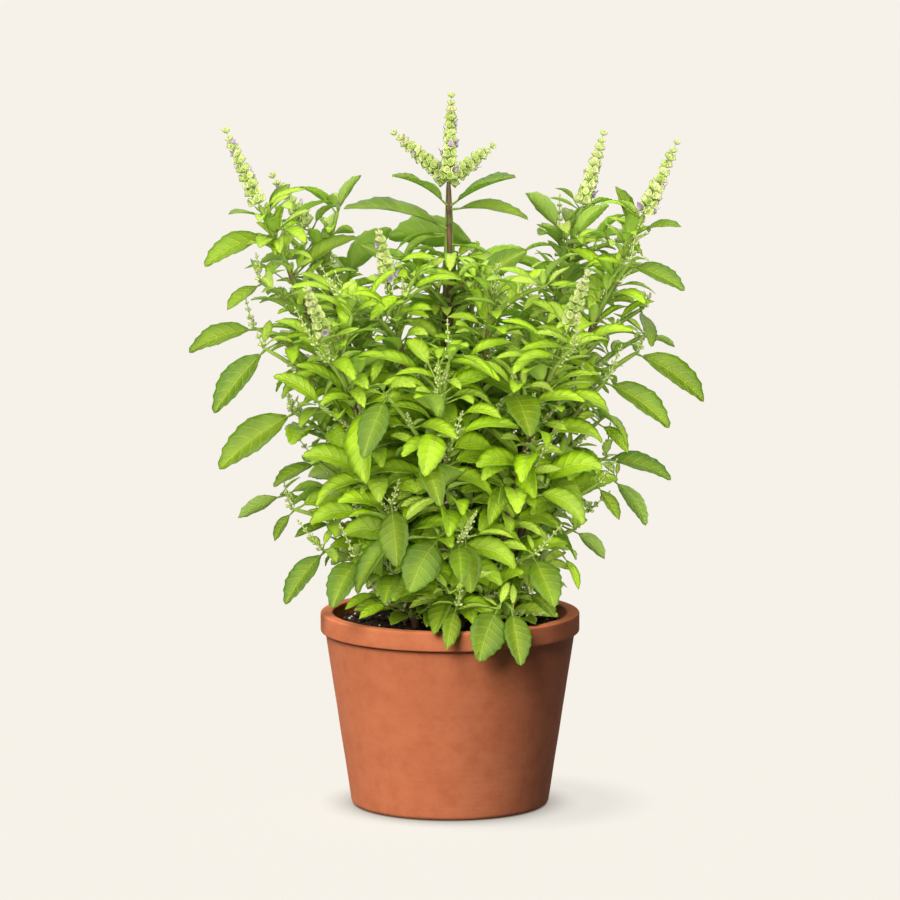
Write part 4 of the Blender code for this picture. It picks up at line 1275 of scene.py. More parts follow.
sample = towards(Vector((0, 0, 200)), Vector((60, 0, 190)), 8, SLIM, random.Random(1))
print("a leaf towards a tip ends at", [round(value, 1) for value in sample.spine(1.0)])

# %% Grow the reaches
STEM_PETIOLE = (8, 13)
SHOOT_PETIOLE = (5, 8)

# Leaves on a side shoot: across from its first leaf, and a pair lower down on a long one
SHOOT_PAIR = 2.5
ACROSS = 34.0
LOWER = 38.0
SHOOT_LEAF_SIZE = (0.88, 1.2)
SHOOT_LEAF_PITCH = 30.0
FORKED_SHOOT = 30.0
LOWER_PAIR = 0.60


def grow_reach(stem, height, end, tip, broad, seed):
    """Grows a side shoot with its first leaf; says how the leaf stands if the shoot has room."""
    dice = random.Random(seed)
    shoot = stem.place_shoot(stem.path.at_height(height), Vector(end), seed)
    if shoot is None:
        return []
    root = shoot.path.at(shoot.path.length - SHOOT_PAIR)[0]
    leaf = towards(root, Vector(tip), SHOOT_PETIOLE[0], broad, dice)
    stem.place_leaf(leaf, shoot, seed, free=True)
    return [(stem, shoot, leaf.azimuth, seed)]


def grow_reaches():
    """Grows the shoots and leaves that give the bush its outline, and lists the shoots."""
    ends = []
    for number, (name, height, end, tip, *broad) in enumerate(REACHES):
        stem = stems[name]
        seed = f"reach {number}"
        broad = broad[0] if broad else SLIM
        if end is not None:
            ends += grow_reach(stem, height, end, tip, broad, seed)
            continue
        along = stem.path.at_height(height)
        root, _ = stem.path.at(along)
        leaf = towards(root, Vector(tip), STEM_PETIOLE[0], broad, random.Random(seed))
        stem.place_leaf(leaf, stem, seed, free=True)
        stem.nodes.append(along)
    return ends


def grow_shoot_leaves(stem, shoot, first_azimuth, seed):
    """Grows the other leaves of a side shoot: across from the first, and a pair lower down."""
    dice = random.Random(f"leaves {stem.name} {seed}")
    shoot.azimuth = first_azimuth
    sites = [(shoot.path.length - SHOOT_PAIR, 180, ACROSS)]
    if shoot.path.length > FORKED_SHOOT:
        place = shoot.path.length * LOWER_PAIR
        sites += [(place, 90, LOWER), (place, -90, LOWER)]
        shoot.nodes.append(place)
    for place, turn, length in sites:
        leaf = free_leaf(shoot.path.at(place)[0], first_azimuth + turn, SHOOT_LEAF_PITCH,
                         length * dice.uniform(*SHOOT_LEAF_SIZE), dice.uniform(*SHOOT_PETIOLE),
                         dice)
        stem.place_leaf(leaf, shoot, f"{seed} {turn}")


def count(kind):
    """How many leaves or shoots the stems have."""
    return sum(len(getattr(stem, kind)) for stem in stems.values())


for grown in grow_reaches():
    grow_shoot_leaves(*grown)
print("leaves of the reaches:", count("leaves"))

# %% Leaves and side shoots of a stem
# Pairs of leaves, from the stem's tip down
PAIR_LENGTHS = (25.0, 38.0, 47.0, 50.0, 48.0, 44.0)
PAIR_PITCHES = (46.0, 40.0, 32.0, 26.0, 22.0, 20.0)
PAIR_SIZE = (0.86, 1.16)
PAIR_TURN = (-14, 14)
FIRST_PAIR = 3.0
PAIR_STEP = 24.0
PAIR_STEP_MORE = 3.5
LOWEST_PAIR = 34.0

# Side shoots low on a stem; the furthest of the reaches that stays in the outline is taken
SIDE_STEP = 46.0
SIDE_TURN = (-12, 12)
SIDE_REACHES = (59, 48, 37, 27)
SIDE_RISE = (24, 40)
SIDE_LEAF = (36, 50)
SIDE_LEAF_TURN = (-14, 14)
SIDE_LEAF_PITCH = 26.0
SIDE_LEAF_REACH = 26.0

# Rounds of side shoots: how far down the stem they stand and which way they lean
SIDE_ROUNDS = ((0, 0), (1, 50), (1, -50), (2, 0), (3, 40), (3, -40), (4, 0))
SIDE_STEMS = ("front", "back", "left_2", "right_2")


def grow_stem_leaves(stem, level):
    """Grows the pair of leaves at one level of a stem, counted down from its tip."""
    dice = random.Random(f"pair {stem.name} {level}")
    down = FIRST_PAIR + sum(PAIR_STEP + PAIR_STEP_MORE * step for step in range(level))
    along = stem.path.length - down
    root, _ = stem.path.at(along)
    if root.z < SOIL_TOP + LOWEST_PAIR or level < BARE_PAIRS.get(stem.name, 0):
        return
    outward = math.degrees(math.atan2(root.y, root.x))
    azimuth = outward + 90 * (level % 2) + dice.uniform(*PAIR_TURN)
    stem.nodes.append(along)
    for turn in (0, 180):
        leaf = free_leaf(root, azimuth + turn, PAIR_PITCHES[level],
                         PAIR_LENGTHS[level] * dice.uniform(*PAIR_SIZE),
                         dice.uniform(*STEM_PETIOLE), dice)
        stem.place_leaf(leaf, stem, f"pair {level} {turn}")


def grow_side_shoot(stem, level, lean):
    """Grows a side shoot at one level of a stem, leaning from its outward direction.

    It is left out again if none of its leaves has room.
    """
    seed = f"side {level} {lean}"
    dice = random.Random(f"{stem.name} {seed}")
    along = stem.path.length - SIDE_STEP * (level + 1)
    root, _ = stem.path.at(along)
    if root.z < SOIL_TOP + LOWEST_PAIR / 2:
        return
    azimuth = math.degrees(math.atan2(root.y, root.x)) + lean + dice.uniform(*SIDE_TURN)
    ahead = Vector((math.cos(math.radians(azimuth)), math.sin(math.radians(azimuth)), 0.0))
    rise = dice.uniform(*SIDE_RISE)
    for reach in SIDE_REACHES:
        end = root + ahead * reach + UP * rise
        if inside_outline(end + ahead * SIDE_LEAF_REACH):
            break
    shoot = stem.place_shoot(along, end, seed)
    if shoot is None:
        return
    grown = len(stem.leaves)
    azimuth += dice.uniform(*SIDE_LEAF_TURN)
    leaf = free_leaf(shoot.path.at(shoot.path.length - SHOOT_PAIR)[0], azimuth, SIDE_LEAF_PITCH,
                     dice.uniform(*SIDE_LEAF), dice.uniform(*SHOOT_PETIOLE), dice)
    stem.place_leaf(leaf, shoot, seed)
    grow_shoot_leaves(stem, shoot, azimuth, seed)
    if len(stem.leaves) == grown:
        stem.shoots.remove(shoot)


def grow_levels(levels):
    """Grows the pairs of leaves at some levels of every stem."""
    for level in levels:
        for stem in stems.values():
            grow_stem_leaves(stem, level)


grow_levels(range(3))
for level, lean in SIDE_ROUNDS:
    for name, stem in stems.items():
        if name.startswith(SIDE_STEMS):
            grow_side_shoot(stem, level, lean)
grow_levels(range(3, len(PAIR_LENGTHS)))
print("grown leaves:", count("leaves"), "side shoots:", count("shoots"))

# %% [markdown]
# ## Slight shoots
# Between the main shoots stand a few slight ones that the solids leave out: some fill the top of
# the bush, and some lie over the soil and lean to the rim. They could be part of the tufts further
# on, but tufts sit close to a stem, and these reach into the gaps. They grow by the same rule as
# the others, after them, so they take only the room that is left.

# %% Grow the slight shoots
# Stem, height at which the shoot leaves it, the shoot's end, and the tip of its first leaf
SLIGHT_SHOOTS = (
    ("front_5", 326, (-64, -40, 366), (-90, -44, 384)),
    ("front_5", 344, (-20, -52, 372), (-16, -66, 384)),
    ("back_4", 318, (-12, 58, 374), (-42, 62, 390)),
    ("middle", 344, (-32, 2, 380), (-62, -4, 391)),
    ("middle", 356, (26, -6, 384), (52, -14, 388)),
    ("left_3", 336, (-28, 26, 372), (-46, 34, 384)),
    ("left_2", 340, (-66, 30, 386), (-42, 22, 400)),
    ("front_1", 312, (-66, -72, 352), (-44, -74, 366)),
    ("right_1", 336, (24, 36, 374), (50, 40, 384)),
    ("front_4", 350, (22, -52, 376), (14, -66, 384)),
    ("front_1", 134, (-42, -42, 147), (-62, -56, 139)),
    ("front_1", 138, (-30, -48, 150), (-40, -74, 138)),
    ("front_5", 136, (-18, -44, 146), (-16, -70, 139)),
    ("left_1", 138, (-50, -12, 150), (-72, -24, 140)),
    ("left_1", 144, (-52, -30, 158), (-74, -42, 143)),
    ("front_2", 136, (-6, -56, 148), (-16, -84, 138)),
    ("front_2", 146, (12, -66, 160), (8, -96, 136)),
    ("front_4", 140, (26, -58, 154), (34, -88, 135)),
    ("front_3", 138, (42, -46, 148), (58, -66, 137)),
    ("right_3", 140, (54, -24, 152), (72, -44, 138)),
)
for number, (name, height, end, tip) in enumerate(SLIGHT_SHOOTS):
    for grown in grow_reach(stems[name], height, end, tip, BROAD[0], f"slight {number}"):
        grow_shoot_leaves(*grown)
print("with slight shoots:", count("leaves"))

# %% [markdown]
# ## Tubes
# Stems, leaf stalks and the thin axes of flowers are all tubes along a path. A curve object with a
# bevel would make them too, but it gives no say over the cross section, and a stem is square. So
# one function sets a ring of points round each point of the path and joins the rings. Each ring is
# the last one turned as little as possible, so the tube doesn't twist.

# %% Tube


def ring_faces(rings, sides):
    """Faces of a closed skin over rings of points, with a cap at each end."""
    last = sides * (rings - 1)
    faces = [tuple(range(sides - 1, -1, -1)), tuple(range(last, last + sides))]
    for ring in range(0, last, sides):
        for corner in range(sides):
            after = (corner + 1) % sides
            faces.append((ring + corner, ring + after, ring + sides + after, ring + sides + corner))
    return faces


def tube(path, radii, sides, ridge=0.0):
    """Points and faces of a closed round tube; a ridge gives it four rounded corners."""
    path = np.asarray(path, float)
    ahead = np.gradient(path, axis=0)
    ahead /= np.linalg.norm(ahead, axis=1)[:, None]
    side = np.cross(ahead[0], (0.31, 0.92, 0.24))
    angle = math.tau * np.arange(sides) / sides
    points = []
    for number, place in enumerate(path):
        side = side - ahead[number] * side.dot(ahead[number])
        side /= np.linalg.norm(side)
        other = np.cross(ahead[number], side)
        radius = radii[number] * (1 + ridge * np.cos(4 * angle))
        points.append(place + (radius * np.cos(angle))[:, None] * side
                      + (radius * np.sin(angle))[:, None] * other)
    return np.concatenate(points), ring_faces(len(path), sides)


sample = tube([(0.0, 0.0, height) for height in (0, 5, 10)], [1.0, 1.0, 1.0], 6)
print("a tube of three rings has", len(sample[1]), "faces")

# %% [markdown]
# ## Room for young spikes
# Young flower spikes push up between the leaves, so their room is kept free before the small leaves
# grow. The longest spike that fits is taken at each place, and a place where none fits has none.

# %% Find the young spikes
YOUNG_BODY = (1.4, 2.4, 2.2, 1.6, 0.6)
YOUNG_FOOT = 2.5
YOUNG_SUNK = 0.8
YOUNG_CURVE = 0.002
STEM_SITES = 12


def young_axis(foot, rise, height):
    """The point of a young spike's axis at a height above its foot."""
    return foot + rise * (height - YOUNG_SUNK) + UP * (YOUNG_CURVE * height * height)


def young_sites(stem):
    """Where a young spike may stand: what bears it, the length along that, and its own lengths."""
    for shoot in stem.shoots:
        yield shoot, shoot.path.length, (30, 24, 18, 13)
        if shoot.path.length > 24:
            yield shoot, shoot.path.length * 0.64, (15, 11, 8)
            yield shoot, shoot.path.length * 0.40, (13, 9)
    for number in range(STEM_SITES):
        yield stem, stem.path.length * (0.97 - 0.045 * number), (17, 13, 9)


def young_body(foot, rise, length):
    """A rough closed shape of a young spike."""
    steps = len(YOUNG_BODY) - 1
    heights = [YOUNG_FOOT + (length - YOUNG_FOOT) * step / steps for step in range(steps + 1)]
    axis = [tuple(young_axis(foot, rise, height)) for height in heights]
    shape, faces = tube(axis, YOUNG_BODY, 6)
    return [Vector(point) for point in shape], faces


def grow_young_spikes():
    """Finds where the shoots and stems bear short spikes, and keeps their room free."""
    grown = []
    for stem in stems.values():
        for number, (parent, along, lengths) in enumerate(young_sites(stem)):
            dice = random.Random(f"young spike {stem.name} {number}")
            foot, direction = parent.path.at(along)
            at_end = along == parent.path.length
            out = Vector((foot.x, foot.y, 0.0)).normalized() * (0.0 if at_end else 0.9)
            for length in lengths:
                swing = Vector((dice.uniform(-0.4, 0.4), dice.uniform(-0.4, 0.4), 0.0))
                rise = (direction * 0.6 + UP * 0.6 + out + swing).normalized()
                body = young_body(foot, rise, length)
                inside = inside_outline(young_axis(foot, rise, length))
                if inside and room.is_free(body, parent.owner):
                    room.add(body, f"young spike {stem.name} {number}")
                    grown.append((foot, rise, length * dice.uniform(0.85, 1.0)))
                    break
    return grown


young_spikes = grow_young_spikes()
print("young spikes:", len(young_spikes))

# %% [markdown]
# ## Young leaves
# The big leaves alone leave the bush thin. On the real plant each leaf corner holds a bud that
# opens into a tuft of small, yellow-green leaves, and each shoot ends in one. They could be
# scattered at random, but then they float, so each is rooted on a stem or a shoot like its elders
# and has to find room as they did. Low down, a few more full-grown leaves hide the feet of the
# stems.

# %% How a tuft stands
# Lengths of the leaves of a tuft, from the outer pair to the inner one
END_TUFT = (24, 16, 10)
HALF_TUFT = (18, 12)
LOW_TUFT = (24, 14)
FOOT_TUFT = (29, 20)
NODE_TUFT = (24, 16, 11)
BETWEEN_TUFT = (30, 20)
TUFT_CLEAR = 0.25
TUFT_TRIES = 9
TUFT_PITCH = 34
TUFT_STEEPER = 16


def tuft_leaf(root, azimuth, pitch, length, dice):
    """A small leaf of a tuft, which stands less regularly than a large one."""
    azimuth += dice.uniform(-38, 38)
    return Leaf(root, azimuth, pitch + dice.uniform(-28, 28), length,
                dice.uniform(0.12, 0.30) * length, dice.uniform(10, 70),
                outward_roll(root, azimuth, dice.uniform(-30, 60)),
                dice.uniform(-20, 20), dice.uniform(16, 38))


def grow_tuft(stem, parent, along, azimuth, sizes, seed):
    """Grows pairs of small leaves at one place, each pair turned a quarter and steeper."""
    dice = random.Random(f"tuft {stem.name} {seed}")
    root, _ = parent.path.at(along)
    for level, size in enumerate(sizes):
        for turn in (0, 180):
            leaf = tuft_leaf(root, azimuth + 90 * level + turn, TUFT_PITCH + TUFT_STEEPER * level,
                             size * dice.uniform(0.8, 1.2), dice)
            stem.place_leaf(leaf, parent, f"tuft {seed} {level} {turn}",
                            young=dice.uniform(0.4, 1.0), most=TUFT_TRIES, clear=TUFT_CLEAR)


print("leaves of a tuft at a shoot's end:", 2 * len(END_TUFT))

# %% Grow the low leaves and the tufts
# Where tufts stand: as shares of a side shoot's length, and in millimetres up from the soil
HALF_WAY = 0.6
LOW_WAY = 0.32
FOOT_TUFTS = (7, 12, 17)
FIRST_BETWEEN = 22
BETWEEN_STEP = 13
LEAST_TOP = 30

# Full leaves inside the bush: how many a stem has, their lengths, and below which height they are
# big
LOW_LEAVES = 30
LOW_LEAF = (28, 44)
INNER_LEAF = (20, 38)
LOW_HEIGHT = 280
LOW_PITCH = 22
LOW_PETIOLE = (7, 22)
LOW_TRIES = 25
LOW_CLEAR = 0.3


def grow_shoot_tufts(stem):
    """Grows the tufts of a stem's side shoots."""
    for number, shoot in enumerate(stem.shoots):
        end = shoot.path.length
        grow_tuft(stem, shoot, end, shoot.azimuth + 90, END_TUFT, f"end {number}")
        if end > FORKED_SHOOT:
            grow_tuft(stem, shoot, end * HALF_WAY, shoot.azimuth, HALF_TUFT, f"half {number}")
            grow_tuft(stem, shoot, end * LOW_WAY, shoot.azimuth + 90, LOW_TUFT, f"low {number}")


def grow_stem_tufts(stem):
    """Grows the tufts at a stem's foot, in its leaf corners and between them."""
    dice = random.Random(f"tufts {stem.name}")
    for number, low in enumerate(FOOT_TUFTS):
        grow_tuft(stem, stem, HOLE_DEPTH + low, dice.uniform(0, 360), FOOT_TUFT, f"foot {number}")
    for number, along in enumerate(sorted(set(stem.nodes))):
        grow_tuft(stem, stem, along, dice.uniform(0, 360), NODE_TUFT, f"node {number}")
    for number in range(int((stem.path.length - HOLE_DEPTH - LEAST_TOP) / BETWEEN_STEP)):
        along = HOLE_DEPTH + FIRST_BETWEEN + BETWEEN_STEP * number
        grow_tuft(stem, stem, along, dice.uniform(0, 360), BETWEEN_TUFT, f"between {number}")


def grow_low_leaves(stem):
    """Grows full leaves between the tufts, low down and inside the bush."""
    dice = random.Random(f"low leaves {stem.name}")
    for number in range(LOW_LEAVES):
        along = HOLE_DEPTH + 14 + dice.uniform(0, 1) * (stem.path.length - HOLE_DEPTH - 26)
        root, _ = stem.path.at(along)
        size = dice.uniform(*(LOW_LEAF if root.z < LOW_HEIGHT else INNER_LEAF))
        leaf = free_leaf(root, dice.uniform(0, 360), LOW_PITCH, size,
                         dice.uniform(*LOW_PETIOLE), dice)
        stem.place_leaf(leaf, stem, f"low {number}", young=dice.uniform(0, 0.4),
                        most=LOW_TRIES, clear=LOW_CLEAR)


for grow in (grow_low_leaves, grow_shoot_tufts, grow_stem_tufts):
    for stem in stems.values():
        grow(stem)
print("all leaves:", count("leaves"))

# %% [markdown]
# ## The leaf finish
# A basil leaf is lime green and lets light through, which is why the bush glows. Its face is
# quilted: the midrib and some six pairs of side veins lie in grooves, and the blade bulges between
# them. Its underside is paler and dull, and the veins stand out there. A plain green would fail at
# the first close look, so the finish reads where each point lies on its leaf from the mark: its
# share along the blade, its share across, and its distance from the midrib. The look holds the
# leaf's tone, how young it is, and which side of the blade it is on. The tone is partly the leaf's
# own and partly painted: shade on the leaves that reach out of the bush, light on those inside.

# %% Leaf finish
VEIN_PAIRS = 7.0
VEIN_SLANT = 0.17
VEIN_CURVE = 1.25
LEAF_DEEP = (0.120, 0.160, 0.002)
LEAF_COOL = (0.095, 0.156, 0.010)
LEAF_LIME = (0.560, 0.850, 0.004)
LEAF_FRESH = (0.700, 0.820, 0.140)
LEAF_MIDDLE = (0.340, 0.450, 0.004)
LEAF_EDGE = (0.085, 0.175, 0.006)
LEAF_FLECK = (0.150, 0.280, 0.006)
LEAF_VEIN = (0.64, 0.80, 0.18)
LEAF_UNDER = (0.50, 0.68, 0.17)
LEAF_GLOW = (0.42, 0.70, 0.008)


def leaf_finish():
    """A quilted leaf with veins, which lets light through."""
    finish = Finish("leaf")
    along, across, side = finish.numbers("mark")
    tone, young, under = finish.numbers("look")
    reach = abs(across)
    vein_place = ((along - reach ** VEIN_CURVE * VEIN_SLANT) * VEIN_PAIRS).part()
    vein_gap = abs(vein_place - 0.5)
    vein = 1 - vein_gap.step(0.02, 0.11)
    vein = vein * (1 - reach.step(0.78, 1.0)) * along.step(0.02, 0.10)
    midrib = 1 - abs(side).step(0.18, 0.62)
    net = 1 - finish.cells(760.0, "DISTANCE_TO_EDGE").step(0.02, 0.14)
    lines = finish.node("ShaderNodeMath", {"operation": "MAXIMUM"}, {0: vein * 0.75, 1: midrib})
    clouds = finish.noise(26.0, 2.0, 0.5).step(0.35, 0.65)
    fleck = finish.noise(240.0, 3.0, 0.6)
    cool = (tone * 7.0).part()
    centre = (1 - reach).step(0.25, 1.0) * along.step(0.0, 0.35)
    # The tone carries painted shade on leaves that reach out and painted light on those inside,
    # through the lime, fresh and middle coats
    colour = finish.coats(LEAF_DEEP,
                          (LEAF_COOL, cool),
                          (LEAF_LIME, tone * 0.70 + clouds * 0.30),
                          (LEAF_FRESH, young * 0.60),
                          (LEAF_FRESH, centre * (0.03 + tone * 0.27)),
                          (LEAF_MIDDLE, centre * (0.22 - tone) * 0.8),
                          (LEAF_EDGE, reach.step(0.48, 1.0) * 0.52),
                          (LEAF_FLECK, (1 - fleck).step(0.50, 0.68) * 0.30),
                          (LEAF_VEIN, lines * 0.21),
                          (LEAF_UNDER, under * 0.42))
    bulge = 1 - (vein_gap * 2.0)
    height = (fleck * 0.10 - lines * 0.75 - net * 0.09 - bulge * bulge * 0.5) * (1 - under * 1.6)
    normal = finish.bump(height, 0.00045, 0.85)
    finish.finish(Base_Color=colour, Roughness=0.38 + under * 0.24 + fleck * 0.12,
                  Specular_IOR_Level=0.38, Normal=normal)
    glow = finish.node("ShaderNodeBsdfTranslucent", None,
                       {"Color": LEAF_GLOW, "Normal": normal})
    finish.blend(glow, 0.35)
    return finish.material


leaf_material = leaf_finish()
print("nodes of the leaf finish:", len(leaf_material.node_tree.nodes))

# %% [markdown]
# ## Blades
# A blade is cut in one closed skin: an upper face, a lower face and a thin edge between them. A
# flat card with a picture would be far lighter, but it has no thickness, no fold and no teeth from
# the side. The rows run along the midrib, and every other row ends in a small tooth that points
# forward. Across the blade the halves rise from the midrib like an open book, and the edge waves a
# little.

# %% The shape of a blade
MIDRIB_STEPS = 48


def frames(leaf, u):
    """The leaf's forward, left and upper directions at many shares of its length at once."""
    azimuth = np.radians(leaf.azimuth + leaf.bend * u)
    pitch = np.radians(leaf.pitch - leaf.arch * u)
    roll = math.radians(leaf.roll)
    flat = np.zeros_like(u)
    ahead = np.stack([np.cos(azimuth), np.sin(azimuth), flat], 1)
    level = np.stack([-np.sin(azimuth), np.cos(azimuth), flat], 1)
    rise, run = np.sin(pitch)[:, None], np.cos(pitch)[:, None]
    up = np.array([[0.0, 0.0, 1.0]])
    forward = ahead * run + up * rise
    upright = up * run - ahead * rise
    left = level * math.cos(roll) + upright * math.sin(roll)
    above = upright * math.cos(roll) - level * math.sin(roll)
    return forward, left, above


def midrib(leaf, u):
    """Points of the midrib at many shares of the leaf's length."""
    middle = (np.arange(MIDRIB_STEPS) + 0.5) / MIDRIB_STEPS
    walk = np.cumsum(frames(leaf, middle)[0] * leaf.length / MIDRIB_STEPS, axis=0)
    walk = np.vstack([np.zeros(3), walk])
    start = np.array(leaf.root) + np.array(leaf.heading(0.0)[0]) * leaf.petiole
    shares = np.linspace(0, 1, MIDRIB_STEPS + 1)
    return start + np.stack([np.interp(u, shares, walk[:, axis]) for axis in range(3)], 1)


def sheet_faces(rows, columns):
    """Faces of a closed sheet: an upper net, a lower net after it, and the edge between."""
    wide = columns + 1
    low = wide * (rows + 1)
    here = (np.arange(rows)[:, None] * wide + np.arange(columns)[None, :]).ravel()
    upper = np.stack([here, here + 1, here + wide + 1, here + wide], 1)
    lower = np.stack([here, here + wide, here + wide + 1, here + 1], 1) + low
    side = np.arange(rows) * wide
    left = np.stack([side, side + wide, side + wide + low, side + low], 1)
    side = side + columns
    right = np.stack([side, side + low, side + wide + low, side + wide], 1)
    end = np.arange(columns)
    base = np.stack([end, end + low, end + 1 + low, end + 1], 1)
    end = end + wide * rows
    tip = np.stack([end, end + 1, end + 1 + low, end + low], 1)
    return np.concatenate([upper, lower, left, right, base, tip]).tolist()


print("a blade of 14 rows has", len(sheet_faces(14, 6)), "faces")

# %% Cut a blade
BOX_LOW, BOX_HIGH = (np.array(corner) / METRES for corner in cad_box)

# Nets: rows along the blade and columns in each half, for blades longer than the first number
NETS = ((33, 14, 3), (19, 9, 2), (0, 6, 2))

# Teeth: how far they stand out, the notches in, and the teeth ahead. Blades shorter than
# FULL_TEETH have smaller ones.
TOOTH_OUT = 0.030
NOTCH_IN = 0.034
TOOTH_AHEAD = 0.42
FULL_TEETH = 34

# The waved edge, the quilted face, the rounding of the fold, the thickness and the rib below
WAVES = (11, 16)
WAVE = (0.012, 0.034)
QUILT = 0.026
FOLD_ROUND = 0.28
BLADE_HALF = 0.26
THINNER_EDGE = 0.55
GROOVE = 0.15
RIB = 0.42


def waves(leaf, place, across, u, dice):
    """How far the blade's edge waves and its face bulges between the veins."""
    reach = np.abs(across)
    phase = dice.uniform(0, math.tau), dice.uniform(0, math.tau)
    swing = np.where(across > 0, phase[0], phase[1])
    wave = np.sin(place * dice.uniform(*WAVES) + swing[None, :]) * reach[None, :] ** 2.2
    wave = wave * leaf.width * dice.uniform(*WAVE) * np.sin(np.pi * u)[:, None]
    slant = VEIN_SLANT * reach[None, :] ** VEIN_CURVE
    quilt = np.abs(np.sin(np.pi * VEIN_PAIRS * (place - slant)))
    return wave + quilt * (reach * (1 - reach))[None, :] * QUILT * leaf.width


def add_blade(bundle, leaf, dice):
    """Adds a leaf's blade, with teeth, fold and waved edge."""
    rows, half = next(net for least, *net in NETS if leaf.length > least)
    u = np.linspace(0.012, 0.996, rows + 1)
    across = np.linspace(-1, 1, 2 * half + 1)
    reach = np.abs(across)
    tooth = np.arange(rows + 1) % 2
    size = min(1.0, leaf.length / FULL_TEETH)
    jagged = 1.0 + (TOOTH_OUT * tooth - NOTCH_IN * (1 - tooth)) * size
    width = leaf.width / 2 * blade_width(u) * jagged
    shift = TOOTH_AHEAD / rows * tooth[:, None] * reach[None, :] ** 3
    place = np.clip(u[:, None] + shift * size, 0, 0.998)
    _, left, above = frames(leaf, u)
    fold = np.radians(leaf.fold) * np.minimum(1.0, width / 4)
    spine = np.stack([midrib(leaf, place[:, column]) for column in range(2 * half + 1)], 1)
    out = (width * np.cos(fold))[:, None] * across[None, :]
    rounding = reach * (1 + FOLD_ROUND - FOLD_ROUND * reach)
    lift = (width * np.sin(fold))[:, None] * rounding[None, :] + waves(leaf, place, across, u, dice)
    face = spine + left[:, None, :] * out[..., None] + above[:, None, :] * lift[..., None]
    thick = BLADE_HALF * min(1.0, 0.4 + leaf.length / 50) * (1 - THINNER_EDGE * reach)
    rib = thick + RIB * (across == 0) * (1 - u[:, None]) * size
    upper = face + above[:, None, :] * (thick[None, :] - GROOVE * (across == 0))[..., None]
    lower = face - above[:, None, :] * rib[..., None]
    points = np.concatenate([upper.reshape(-1, 3), lower.reshape(-1, 3)])
    points = np.clip(points, BOX_LOW, BOX_HIGH)
    mark = np.stack([place, np.broadcast_to(across, place.shape), out], 2).reshape(-1, 3)
    look = np.zeros((len(points), 3))
    look[:, 0] = leaf.tone
    look[:, 1] = leaf.young
    look[len(mark):, 2] = 1.0
    bundle.add(points, sheet_faces(rows, 2 * half), np.concatenate([mark, mark]), look)


sample = Bundle()
add_blade(sample, stems["front_1"].leaves[0], random.Random("sample blade"))
print("a large blade has", sample.count, "points")

# %% Make the blades
# Leaves that reach out of the bush get a painted shade and are fuller, and those inside get
# painted light, more of it with height
OUTER_TONE_WITH_PAINTED_SHADE = -0.34
OUTER_SPREAD = 0.26
OUTER_WIDER = 1.18
OUTER_FROM = 1.02
TOP_WIDE = 1.4
INNER_TONE_WITH_PAINTED_LIGHT = 0.48
INNER_SPREAD = 0.40
HIGH_PAINTED_LIGHT = 0.10
PAINTED_LIGHT_FROM = 230
PAINTED_LIGHT_RISE = 130


def reaches_out(leaf):
    """Says whether a leaf's tip lies outside the bush or near its top, where leaves get a painted
    shade.
    """
    tip = leaf.spine(1.0)
    on_top = abs(tip.x) < TOP_WIDE * GAP_HALF and tip.z > GAP_FLOOR
    return on_top or math.hypot(tip.x, tip.y) > OUTER_FROM * outline_radius(tip.z)


def make_leaves(stem):
    """The piece with all the blades of a stem."""
    bundle = Bundle()
    for number, leaf in enumerate(stem.leaves):
        dice = random.Random(f"blade {stem.name} {number}")
        draw = dice.random()
        # Tone: a random part, with painted shade on leaves that reach out and painted light, rising
        # with height, on those inside
        if reaches_out(leaf):
            leaf.tone = OUTER_SPREAD * draw + OUTER_TONE_WITH_PAINTED_SHADE
            leaf.width *= OUTER_WIDER
        else:
            high = min(1.0, max(0.0, (leaf.root.z - PAINTED_LIGHT_FROM) / PAINTED_LIGHT_RISE))
            leaf.tone = INNER_TONE_WITH_PAINTED_LIGHT + INNER_SPREAD * draw + HIGH_PAINTED_LIGHT * high
        add_blade(bundle, leaf, dice)
    return bundle.make("leaves_" + stem.name, leaf_material, ["stem_" + stem.name])


leaf_pieces = [make_leaves(stem) for stem in stems.values()]
print("blade triangles:", sum(triangles(piece) for piece in leaf_pieces))

# %% [markdown]
# ## Stems, side shoots and leaf stalks
# Basil stems are square with rounded corners, a little swollen where leaves stand. They are brown
# purple and woody when old, and green and soft near the tip. A round tube would do from afar, but
# the ridges catch the light in thin lines, so the tube gets four soft corners and its swellings.

# %% Stem finish
STEM_DEEP = (0.120, 0.210, 0.014)
STEM_GREEN = (0.240, 0.350, 0.036)
BARK_DEEP = (0.052, 0.026, 0.012)
BARK_BROWN = (0.130, 0.066, 0.030)
STEM_FIBRE = (0.30, 0.32, 0.14)


def stem_finish():
    """A fibrous stem, green when young and brown when old."""
    finish = Finish("stem")
    old, node, tone = finish.numbers("mark")
    fibre = finish.noise(1.0, 3.0, 0.6, stretch=(900.0, 900.0, 120.0))
    patch = finish.noise(70.0, 3.0, 0.6)
    green = finish.mix(STEM_DEEP, STEM_GREEN, tone)
    bark = finish.mix(BARK_DEEP, BARK_BROWN, patch.step(0.4, 0.65))
    share = (old * 1.15 + (patch - 0.5) * 0.8 + node * 0.25).step(0.16, 0.62)
    colour = finish.mix(green, bark, share)
    colour = finish.mix(colour, STEM_FIBRE, fibre.step(0.58, 0.72) * 0.22)
    return finish.finish(Base_Color=colour, Roughness=0.52 + fibre * 0.16, Specular_IOR_Level=0.35,
                         Normal=finish.bump(fibre + patch * 0.5, 0.0004, 0.6))


stem_material = stem_finish()
print("nodes of the stem finish:", len(stem_material.node_tree.nodes))

# %% Draw a stem and a side shoot
NODE_SWELL = 0.24
NODE_SPREAD = 2.6
RIDGE = 0.07
STEM_RINGS = 64
SHOOT_RINGS = 18

# The middle stem stays brown up to its tip
LEAST_AGE = {"middle": 0.52}


